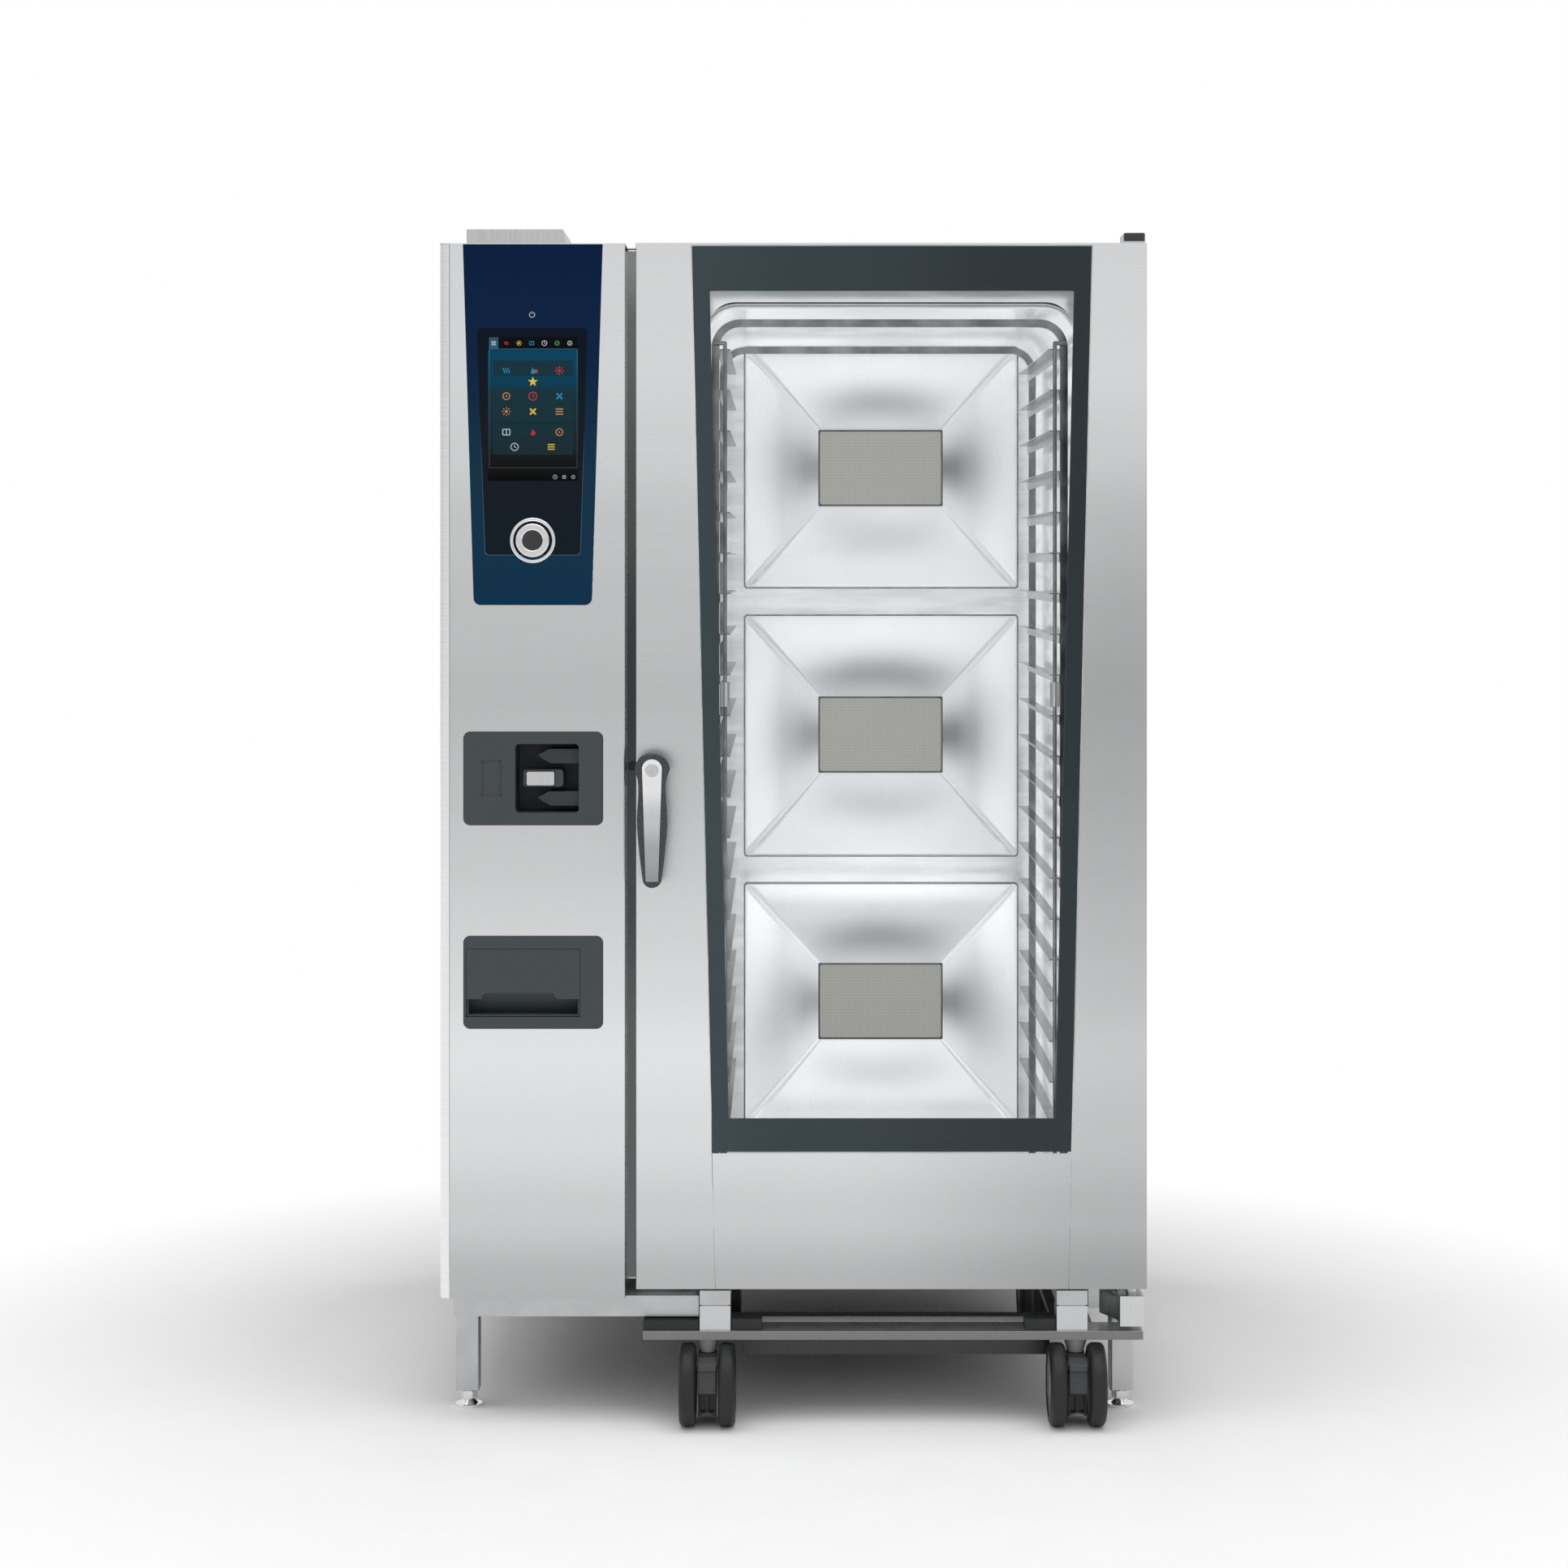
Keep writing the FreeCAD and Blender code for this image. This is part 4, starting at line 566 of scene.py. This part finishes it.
# ---------------------------------------------------------------- air baffles
BAFFLE_HALF = (0.242, 0.2135)     # half-width and half-height of one baffle
INTAKE_HALF = (0.109, 0.066)      # the same for its intake
BAFFLE_DEPTH = 0.036              # how far the intake lies behind the edge
# Painted light: each baffle's brightness lift, the lowest raised most.
BAFFLE_PAINTED_LIGHT = (1.04, 1.04, 1.22)  # brightness of each baffle, top to bottom


def baffle_painted_reflection(quarter, t, s):
    """Painted reflection on a pressed face: brightness darker in a soft arc. Quarters run foot, right, top,
    left.
    """
    spread = math.sin(math.pi * s)
    if quarter in (1, 3):
        depth = 0.68 if quarter == 1 else 0.52
        return 1.0 - depth * spread ** 2.6 * min(1.0, t * 1.25) ** 1.2
    arc_at, depth = (0.66, 0.50) if quarter == 2 else (0.62, 0.28)
    reach = t - 0.16 * (1.0 - spread)
    return 1.0 - depth * spread ** 0.8 * math.exp(-((reach - arc_at) / 0.24) ** 2)


def baffle_faces():
    """Pressed sheet: four curved faces fall away from flat edges, their ridges sharper at the intake."""
    rings, steps = 26, 30
    verts, faces, tones = [], [], []
    for z_mid, gain in zip(FAN_Z, BAFFLE_PAINTED_LIGHT):
        for quarter in range(4):
            start = len(verts)
            for k in range(rings + 1):
                t = k / rings
                w = BAFFLE_HALF[0] + t * (INTAKE_HALF[0] - BAFFLE_HALF[0])
                h = BAFFLE_HALF[1] + t * (INTAKE_HALF[1] - BAFFLE_HALF[1])
                corners = [(-w, -h), (w, -h), (w, h), (-w, h), (-w, -h)]
                (x0, z0), (x1, z1) = corners[quarter], corners[quarter + 1]
                push = BAFFLE_DEPTH * t ** 1.9
                for i in range(steps + 1):
                    s = i / steps
                    verts.append((BAFFLE_X + x0 + (x1 - x0) * s, BAFFLE_Y + push, z_mid + z0 + (z1 - z0) * s))
                    # Painted reflection: each vertex keeps its arc brightness times its baffle's painted
                    # light.
                    tones.append(gain * baffle_painted_reflection(quarter, t, s))
            for k in range(rings):
                for i in range(steps):
                    a = start + k * (steps + 1) + i
                    faces.append([a, a + 1, a + steps + 2, a + steps + 1])
    made = mesh_object("baffle_faces", verts, faces, STEEL_BAFFLE, smooth=True)
    shade = made.data.color_attributes.new("painted_reflection_tone", "FLOAT_COLOR", "POINT")
    for spot, tone in zip(shade.data, tones):
        spot.color = (tone, tone, tone, 1.0)
    wall = made.modifiers.new("wall", "SOLIDIFY")
    wall.thickness = 0.0012
    wall.offset = 1.0
    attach(made, "cabinet")
    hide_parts("air_baffles")


def baffle_edges():
    """Folded edge, intake lip and perforated intake plate of each baffle."""
    for i, z_mid in enumerate(FAN_Z):
        x0, x1 = BAFFLE_X - BAFFLE_HALF[0], BAFFLE_X + BAFFLE_HALF[0]
        z0, z1 = z_mid - BAFFLE_HALF[1], z_mid + BAFFLE_HALF[1]
        a0, a1 = BAFFLE_X - INTAKE_HALF[0], BAFFLE_X + INTAKE_HALF[0]
        b0, b1 = z_mid - INTAKE_HALF[1], z_mid + INTAKE_HALF[1]
        deep = BAFFLE_Y + BAFFLE_DEPTH
        fold = band(f"baffle_fold_{i + 1}", box_outline(x0 - 0.0012, x1 + 0.0012, z0 - 0.0012, z1 + 0.0012,
                                                        0.006),
                    box_outline(x0 + 0.0016, x1 - 0.0016, z0 + 0.0016, z1 - 0.0016, 0.005),
                    BAFFLE_Y - 0.0016, BAFFLE_Y + 0.016, STEEL_EDGE)
        lip = band(f"intake_lip_{i + 1}", box_outline(a0 - 0.0025, a1 + 0.0025, b0 - 0.0025, b1 + 0.0025,
                                                      0.005),
                   box_outline(a0 + 0.0010, a1 - 0.0010, b0 + 0.0010, b1 - 0.0010, 0.004), deep - 0.0022,
                   deep + 0.0030, LIP_STEEL)
        plate = plates(f"intake_plate_{i + 1}", [rectangle(a0, a1, b0, b1)], deep - 0.0004, deep + 0.0008,
                       INTAKE)
        bevel(fold, 0.0008)
        for piece in (fold, lip, plate):
            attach(piece, "cabinet")


def intake_material():
    """Fine perforated sheet: rows of small dark holes drawn by waves in a warm grey plate, which glows as
    painted light.
    """
    mat, tree, out = material("intake_sheet")
    where = tree.nodes.new("ShaderNodeTexCoord")
    rows = []
    for direction in ("X", "Z"):
        wave = add_node(tree, "TexWave", Scale=60.0, Distortion=0.0)
        wave.bands_direction = direction
        tree.links.new(where.outputs["Object"], wave.inputs["Vector"])
        rows.append(wave.outputs["Fac"])
    cross = tree.nodes.new("ShaderNodeMath")
    cross.operation = "MULTIPLY"
    tree.links.new(rows[0], cross.inputs[0])
    tree.links.new(rows[1], cross.inputs[1])
    tones = ramp(tree, cross.outputs["Value"], [(0.0, (0.375, 0.370, 0.345)), (1.0, (0.300, 0.295, 0.275))])
    # The plate glows (emission 0.60): painted light inside the chamber.
    shader = add_node(tree, "BsdfPrincipled", Metallic=0.3, Roughness=0.5, Emission_Strength=0.60)
    tree.links.new(tones.outputs["Color"], shader.inputs["Base Color"])
    tree.links.new(tones.outputs["Color"], shader.inputs["Emission Color"])
    tree.links.new(shader.outputs["BSDF"], out.inputs["Surface"])
    return mat


INTAKE = intake_material()
# Dark baffle folds: painted shade of the gaps round each baffle.
STEEL_EDGE = surface("steel_edge", grey(0.28, 0.02), grey(0.42, 0.02), 1.0, (0.18, 0.28), 30.0)
# Near-black intake lip: painted shade round the recessed intake.
LIP_STEEL = surface("lip_steel", grey(0.10, 0.02), grey(0.16, 0.02), 1.0, (0.25, 0.35), 30.0)
baffle_faces()
baffle_edges()


# ---------------------------------------------------------------- control glass
def ink(name, outlines, mat, depth=0.0):
    """Printing on the control glass, a hair proud of its face."""
    made = plates(name, outlines, GLASS_Y - 0.00025 - depth, GLASS_Y - 0.0001, mat)
    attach(made, "cabinet")
    return made


def glass_corners():
    """Small webs of sheet that round the foot of the control glass's opening."""
    z0, reach = 1.2532, 0.0105
    webs = []
    for side in (-1, 1):
        corner = CONTROL_X + side * 0.0904
        web = [(corner, z0)]
        for i in range(9):
            turn = math.radians(90.0 * i / 8)
            web.append((corner - side * reach * (1 - math.sin(turn)), z0 + reach * (1 - math.cos(turn))))
        webs.append(web)
    made = plates("glass_corner_webs", webs, FACE_Y - 0.00095, FACE_Y + 0.0008, STEEL_COVER)
    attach(made, "cabinet")


def flap_edge():
    """Dark line of shadow round the socket flap."""
    outer = box_outline(-0.4762, -0.4462, 0.9612, 1.0158, 0.0060)
    inner = box_outline(-0.4740, -0.4484, 0.9634, 1.0136, 0.0045)
    made = band("flap_edge", outer, inner, FACE_Y - 0.00125, FACE_Y - 0.0009, BLACK_GLOSS)
    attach(made, "flap")


def control_field():
    """Darker field round the screen, with a light outline on its lower half."""
    field = rounded([(-0.4712, 1.3290), (-0.3247, 1.3290), (-0.3140, 1.6770), (-0.4840, 1.6770)], 0.007, 8)
    made = mesh_object("control_field", [(x, GLASS_Y - 0.00012, z) for x, z in field],
                       [list(range(len(field)))], CONTROL_BLACK)
    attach(made, "cabinet")
    centre = Vector((-0.3984, 1.5))
    outer = [(x, z) for x, z in field]
    inner = []
    for x, z in outer:
        inner.append((x + (0.0009 if x < centre.x else -0.0009), z + (0.0009 if z < centre.y else -0.0009)))
    line = band("control_field_line", outer, inner, GLASS_Y - 0.0003, GLASS_Y - 0.0001, FIELD_LINE)
    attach(line, "cabinet")


def stroke(points, width):
    """A polyline drawn as thin four-cornered pieces."""
    out = []
    for (x0, z0), (x1, z1) in zip(points, points[1:]):
        along = Vector((x1 - x0, z1 - z0)).normalized()
        nx, nz = -along.y * width / 2, along.x * width / 2
        out.append([(x0 - nx, z0 - nz), (x1 - nx, z1 - nz), (x1 + nx, z1 + nz), (x0 + nx, z0 + nz)])
    return out


def arc(cx, cz, r, start, stop, steps=14):
    return [(cx + r * math.cos(math.radians(start + (stop - start) * i / steps)),
             cz + r * math.sin(math.radians(start + (stop - start) * i / steps))) for i in range(steps + 1)]


def outline_box(x0, x1, z0, z1, width):
    return stroke([(x0, z0), (x1, z0), (x1, z1), (x0, z1), (x0, z0)], width)


SCREEN_X = (-0.4665, -0.3288)
SCREEN_Z = (1.4430, 1.6625)
GROUPS = ((1.6030, 1.6270), (1.5340, 1.5845), (1.4830, 1.5290))


def screen():
    """Lit screen seen through the glass: picture, group boxes, a thin frame line and a dark foot."""
    (x0, x1), (z0, z1) = SCREEN_X, SCREEN_Z
    made = mesh_object("screen_picture", [(x, GLASS_Y - 0.0003, z) for x, z in rectangle(x0, x1, z0, z1)],
                       [[0, 1, 2, 3]], SCREEN_BLUE)
    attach(made, "cabinet")
    ink("screen_frame", outline_box(x0 + 0.0022, x1 - 0.0014, 1.4630, z1 - 0.0180, 0.0013), SCREEN_LINE,
        0.0004)
    ink("screen_tab", [rectangle(x0 + 0.0016, x0 + 0.0160, z1 - 0.0180, z1 + 0.0)], SCREEN_LINE, 0.0003)
    ink("screen_groups", [rectangle(x0 + 0.0080, x1 - 0.0080, low, high) for low, high in GROUPS],
        GROUP_DARK, 0.0002)


def icon_steam(cx, cz, r):
    waves = []
    for shift in (-0.5, 0.0, 0.5):
        points = [(cx + shift * r + 0.16 * r * math.sin(math.pi * k / 5),
                   cz - 0.55 * r + 1.1 * r * k / 10) for k in range(11)]
        waves += stroke(points, r * 0.20)
    return waves


def icon_drop(cx, cz, r):
    body = [(cx + 0.52 * r * math.cos(t), cz - 0.2 * r + 0.52 * r * math.sin(t))
            for t in [math.radians(210 + 240 * k / 14) for k in range(15)]]
    return [[*body, (cx, cz + 0.85 * r)]]


def icon_sun(cx, cz, r):
    rays = []
    for k in range(8):
        t = math.pi * k / 4
        rays += stroke([(cx + 0.55 * r * math.cos(t), cz + 0.55 * r * math.sin(t)),
                        (cx + 0.95 * r * math.cos(t), cz + 0.95 * r * math.sin(t))], r * 0.18)
    return rays + [disc(cx, cz, 0.32 * r, steps=16)]


def icon_ring(cx, cz, r):
    return stroke(arc(cx, cz, 0.72 * r, 0, 360, 22), r * 0.22) + [disc(cx, cz, 0.20 * r, steps=12)]


def icon_bars(cx, cz, r):
    return [rectangle(cx - 0.8 * r, cx + 0.8 * r, cz + k * 0.55 * r - 0.13 * r, cz + k * 0.55 * r + 0.13 * r)
            for k in (-1, 0, 1)]


def icon_clock(cx, cz, r):
    hands = stroke([(cx, cz + 0.5 * r), (cx, cz), (cx + 0.35 * r, cz - 0.2 * r)], r * 0.18)
    return stroke(arc(cx, cz, 0.85 * r, 0, 360, 22), r * 0.20) + hands


def icon_star(cx, cz, r):
    points = []
    for k in range(10):
        reach = r if k % 2 == 0 else 0.42 * r
        t = math.radians(90 + 36 * k)
        points.append((cx + reach * math.cos(t), cz + reach * math.sin(t)))
    return [[(cx, cz), points[k], points[(k + 1) % 10]] for k in range(10)]


def icon_fan(cx, cz, r):
    blades = []
    for k in range(4):
        t = math.radians(45 + 90 * k)
        blades.append(disc(cx + 0.5 * r * math.cos(t), cz + 0.5 * r * math.sin(t), 0.42 * r, 0.2 * r, 14, t))
    return blades + [disc(cx, cz, 0.14 * r, steps=10)]


def icon_book(cx, cz, r):
    return outline_box(cx - 0.75 * r, cx + 0.75 * r, cz - 0.6 * r, cz + 0.6 * r, 0.2 * r) + \
        [rectangle(cx - 0.1 * r, cx + 0.1 * r, cz - 0.6 * r, cz + 0.6 * r)]


def screen_icons():
    """Rows of small generic symbols in the colours of a cooking menu."""
    mid = -0.39775
    columns = (mid - 0.0405, mid, mid + 0.0405)
    inks = {"white": [], "blue": [], "red": [], "yellow": [], "green": [], "orange": []}
    tabs = ((icon_bars, "white"), (icon_steam, "red"), (icon_sun, "yellow"), (icon_book, "blue"),
            (icon_clock, "white"), (icon_ring, "green"), (icon_ring, "white"))
    for k, (symbol, colour) in enumerate(tabs):
        inks[colour] += symbol(SCREEN_X[0] + 0.0088 + k * 0.0194, SCREEN_Z[1] - 0.0090, 0.0044)
    rows = ((1.6115, 0.0072, columns, ((icon_steam, "blue"), (icon_drop, "blue"), (icon_sun, "red"))),
            (1.5945, 0.0078, (mid,), ((icon_star, "yellow"),)),
            (1.5725, 0.0072, columns, ((icon_ring, "orange"), (icon_clock, "red"), (icon_fan, "blue"))),
            (1.5490, 0.0072, columns, ((icon_sun, "orange"), (icon_fan, "yellow"), (icon_bars, "orange"))),
            (1.5175, 0.0072, columns, ((icon_book, "white"), (icon_drop, "red"), (icon_ring, "orange"))),
            (1.4950, 0.0066, (mid - 0.0280, mid + 0.0280), ((icon_clock, "white"), (icon_bars, "yellow"))))
    for z, size, places, symbols in rows:
        for x, (symbol, colour) in zip(places, symbols):
            inks[colour] += symbol(x, z, size)
    for x, symbol in zip((-0.3640, -0.3500, -0.3360), (icon_clock, icon_bars, icon_ring)):
        inks["white"] += symbol(x, SCREEN_Z[0] + 0.0060, 0.0036)
    inks["red"] += icon_drop(mid + 0.0050, 1.6115, 0.0050)
    for colour, shapes in inks.items():
        ink(f"icons_{colour}", shapes, INKS[colour], 0.0006)


def power_key():
    """Thin ring of the power key above the screen."""
    cx, cz, r = -0.3990, 1.6970, 0.0040
    ink("power_key", stroke(arc(cx, cz, r, 120, 420, 26),
                            0.0009) + [rectangle(cx - 0.00045, cx + 0.00045, cz + 0.0008, cz + 0.0050)],
        INKS["white"], 0.0001)


FIELD_LINE = glow("field_line", [(1.33, (0.060, 0.100, 0.135)), (1.45, (0.045, 0.080, 0.110)),
                                 (1.54, (0.006, 0.012, 0.020)), (1.70, (0.003, 0.008, 0.016))])
SCREEN_BLUE = glow("screen_blue", [(1.4430, (0.0008, 0.0009, 0.0010)), (1.4600, (0.0040, 0.0045, 0.0050)),
                                   (1.4760, (0.0060, 0.0075, 0.0080)), (1.5000, (0.0070, 0.0220, 0.0300)),
                                   (1.5700, (0.0060, 0.0300, 0.0420)), (1.6000, (0.0012, 0.0480, 0.0950)),
                                   (1.6420, (0.0012, 0.0540, 0.1120)), (1.6440, (0.0015, 0.0025, 0.0035)),
                                   (1.6630, (0.0015, 0.0025, 0.0035))], (1.44, 1.67))
SCREEN_LINE = glow("screen_line", [(1.4600, (0.045, 0.045, 0.048)), (1.5000, (0.035, 0.040, 0.045)),
                                   (1.5700, (0.025, 0.060, 0.075)),
                                   (1.6420, (0.026, 0.105, 0.155)), (1.6630, (0.024, 0.080, 0.120))], (1.44,
                                                                                                       1.67))
GROUP_DARK = glow("group_dark", [(1.4800, (0.0110, 0.0235, 0.0310)), (1.5300, (0.0080, 0.0300, 0.0400)),
                                 (1.6270, (0.0075, 0.0330, 0.0480))], (1.44, 1.67))
INKS = {
    "white": glow("icon_white", [(1.40, (0.38, 0.42, 0.44)), (1.70, (0.50, 0.56, 0.60))]),
    "blue": glow("icon_blue", [(1.40, (0.03, 0.25, 0.42)), (1.70, (0.02, 0.22, 0.40))]),
    "red": glow("icon_red", [(1.40, (0.42, 0.03, 0.03)), (1.70, (0.50, 0.04, 0.05))]),
    "yellow": glow("icon_yellow", [(1.40, (0.60, 0.40, 0.06)), (1.70, (0.75, 0.52, 0.08))]),
    "green": glow("icon_green", [(1.40, (0.12, 0.30, 0.08)), (1.70, (0.10, 0.32, 0.12))]),
    "orange": glow("icon_orange", [(1.40, (0.48, 0.20, 0.06)), (1.70, (0.42, 0.22, 0.09))]),
}
glass_corners()
flap_edge()
control_field()
screen()
screen_icons()
power_key()


# ---------------------------------------------------------------- mobile rack casters
def caster_wheels():
    """Twin wheels with rounded tyres, a dished face and a hub cap, in place of the plainer CAD ones."""
    places = {"front_left": (0, 0), "front_right": (1, 0), "rear_left": (0, 1), "rear_right": (1, 1)}
    for corner, (i, j) in places.items():
        axle = (CASTER_X[i], CASTER_Y[j] - TRAIL, WHEEL_R)
        for side, sign in (("inner", -1), ("outer", 1)):
            r = WHEEL_R
            tyre = [(0.0170, r - 0.013), (0.0175, r - 0.005), (0.0205, r - 0.0012), (0.0250, r), (0.0350, r),
                    (0.0395, r - 0.0012), (0.0425, r - 0.005), (0.0430, r - 0.013), (0.0415, r - 0.0145),
                    (0.0185, r - 0.0145)]
            hub = [(0.0190, 0.0065), (0.0190, r - 0.0150), (0.0410, r - 0.0150), (0.0405, r - 0.0185),
                   (0.0375, r - 0.0210),
                   (0.0365, 0.0230), (0.0385, 0.0205), (0.0420, 0.0190), (0.0425, 0.0150), (0.0415, 0.0065)]
            for kind, profile, mat in (("tyre", tyre, CASTER_TYRE), ("hub", hub, CASTER_HUB)):
                made = lathe(f"{kind}_{corner}_{side}", [(sign * a, b) for a, b in profile], axle,
                             (1, 0, 0), mat)
                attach(made, f"wheels_{corner}")
                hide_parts(f"caster_wheels_{corner}")


caster_wheels()


# ---------------------------------------------------------------- rack details
def rack_sleeves():
    """Slim clips where the retaining bars are held to the rack."""
    for i, x in enumerate((CENTRE_X - 0.257, CENTRE_X + 0.257)):
        sleeve = lathe(f"bar_sleeve_{i + 1}", [(-0.019, 0.0057), (-0.019, 0.0078), (0.019, 0.0078),
                                               (0.019, 0.0057)],
                       (x, -0.400, 1.113), (0, 0, 1), STEEL_PLAIN, 32)
        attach(sleeve, "rack")


rack_sleeves()


# ---------------------------------------------------------------- floor, light and camera
def studio_floor():
    """Pale floor that fades to plain white away from the oven, so no horizon line shows."""
    size = 14.0
    made = mesh_object("studio_floor", [(-size, -size, 0), (size, -size, 0), (size, size, 0),
                                        (-size, size, 0)],
                       [[0, 1, 2, 3]], FLOOR)


def floor_material():
    """Matt white near the oven; further off plain white to camera and reflections, lighting nothing."""
    mat, tree, out = material("floor_white")
    where = tree.nodes.new("ShaderNodeTexCoord")
    distance = tree.nodes.new("ShaderNodeVectorMath")
    distance.operation = "LENGTH"
    tree.links.new(where.outputs["Object"], distance.inputs[0])
    fine = noise(tree, 8.0)
    tones = ramp(tree, fine.outputs["Fac"], [(0.3, grey(0.94)), (0.7, grey(0.96))])
    near = add_node(tree, "BsdfDiffuse")
    tree.links.new(tones.outputs["Color"], near.inputs["Color"])
    far = add_node(tree, "Emission", Strength=1.0)
    fade = rescale(tree, distance.outputs["Value"], 0.0, 1.0, 0.85, 1.65)
    path = tree.nodes.new("ShaderNodeLightPath")
    seen = tree.nodes.new("ShaderNodeMath")
    seen.operation = "SUBTRACT"
    seen.inputs[0].default_value = 1.0
    tree.links.new(path.outputs["Is Diffuse Ray"], seen.inputs[1])
    share = tree.nodes.new("ShaderNodeMath")
    share.operation = "MULTIPLY"
    tree.links.new(fade, share.inputs[0])
    tree.links.new(seen.outputs["Value"], share.inputs[1])
    mix = tree.nodes.new("ShaderNodeMixShader")
    tree.links.new(share.outputs["Value"], mix.inputs["Fac"])
    tree.links.new(near.outputs["BSDF"], mix.inputs[1])
    tree.links.new(far.outputs["Emission"], mix.inputs[2])
    tree.links.new(mix.outputs["Shader"], out.inputs["Surface"])
    return mat


def sky_light(tree, stops, strength, from_behind=1.0):
    """Background light by the height it comes from: stops are (0 below .. 0.5 level .. 1 above, grey)."""
    light = add_node(tree, "Background", Strength=strength)
    where = tree.nodes.new("ShaderNodeTexCoord")
    axes = tree.nodes.new("ShaderNodeSeparateXYZ")
    tree.links.new(where.outputs["Generated"], axes.inputs["Vector"])
    height = rescale(tree, axes.outputs["Z"], 0.0, 1.0, -1.0, 1.0)
    tones = ramp(tree, height, [(at, grey(value)) for at, value in stops])
    depth = rescale(tree, axes.outputs["Y"], 0.0, 1.0, -1.0, 1.0)
    front = ramp(tree, depth, [(0.0, grey(1.0)), (0.50, grey(0.92)), (0.75, grey(from_behind)),
                               (1.0, grey(from_behind))])
    both = multiply(tree, tones.outputs["Color"], front.outputs["Color"])
    tree.links.new(both, light.inputs["Color"])
    return light.outputs["Background"]


def studio_world():
    """White for the camera, an even wall of light in reflections, and light from above for matt surfaces."""
    world = bpy.data.worlds.new("studio")
    bpy.context.scene.world = world
    world.use_nodes = True
    tree = world.node_tree
    tree.nodes.clear()
    out = tree.nodes.new("ShaderNodeOutputWorld")
    path = tree.nodes.new("ShaderNodeLightPath")
    seen = add_node(tree, "Background", Color=(1, 1, 1, 1), Strength=1.0)
    mirrored = sky_light(tree, MIRROR_SKY, 0.93)
    matt = sky_light(tree, MATT_SKY, 1.12, 0.12)
    first = tree.nodes.new("ShaderNodeMixShader")
    tree.links.new(path.outputs["Is Glossy Ray"], first.inputs["Fac"])
    tree.links.new(matt, first.inputs[1])
    tree.links.new(mirrored, first.inputs[2])
    second = tree.nodes.new("ShaderNodeMixShader")
    tree.links.new(path.outputs["Is Camera Ray"], second.inputs["Fac"])
    tree.links.new(first.outputs["Shader"], second.inputs[1])
    tree.links.new(seen.outputs["Background"], second.inputs[2])
    tree.links.new(second.outputs["Shader"], out.inputs["Surface"])


MIRROR_SKY = [(0.0, 0.80), (0.42, 0.92), (0.50, 0.74), (0.62, 0.84), (1.0, 1.0)]
MATT_SKY = [(0.0, 0.12), (0.50, 0.10), (0.60, 0.42), (0.75, 1.05), (1.0, 1.1)]


def softbox(name, place, target, width, height, power):
    data = bpy.data.lights.new(name, "AREA")
    data.shape = "RECTANGLE"
    data.size, data.size_y = width, height
    data.energy = power
    obj = bpy.data.objects.new(name, data)
    bpy.context.scene.collection.objects.link(obj)
    obj.location = place
    obj.rotation_mode = "QUATERNION"
    obj.rotation_quaternion = (Vector(target) - Vector(place)).to_track_quat("-Z", "Y")
    return obj


def home_camera():
    """Level camera 5 m in front of the door. Its lens shift works only while it stands at this spot."""
    data = bpy.data.cameras.new("photo_camera")
    cam = bpy.data.objects.new("photo_camera", data)
    bpy.context.scene.collection.objects.link(cam)
    cam.location = (-0.014, FACE_Y - 5.0, 1.316)
    cam.rotation_euler = (math.radians(90), 0, 0)
    data.lens = 75.1
    data.sensor_width = 36.0
    data.clip_end = 60.0
    drive = data.driver_add("shift_y").driver
    drive.type = "SCRIPTED"
    for name, channel in (("px", "LOC_X"), ("py", "LOC_Y")):
        part = drive.variables.new()
        part.name = name
        part.type = "TRANSFORMS"
        part.targets[0].id = cam
        part.targets[0].transform_type = channel
        part.targets[0].transform_space = "WORLD_SPACE"
    drive.expression = f"-0.1403 if abs(px + 0.014) + abs(py - {FACE_Y - 5.0:.4f}) < 0.001 else 0.0"
    bpy.context.scene.camera = cam


FLOOR = floor_material()
studio_floor()
studio_world()
softbox("key_above", (0.0, -1.4, 3.8), (0.1, -0.4, 0.6), 3.4, 2.4, 30.0)
home_camera()
bpy.context.scene.view_settings.view_transform = "Standard"
bpy.context.scene.view_settings.look = "None"
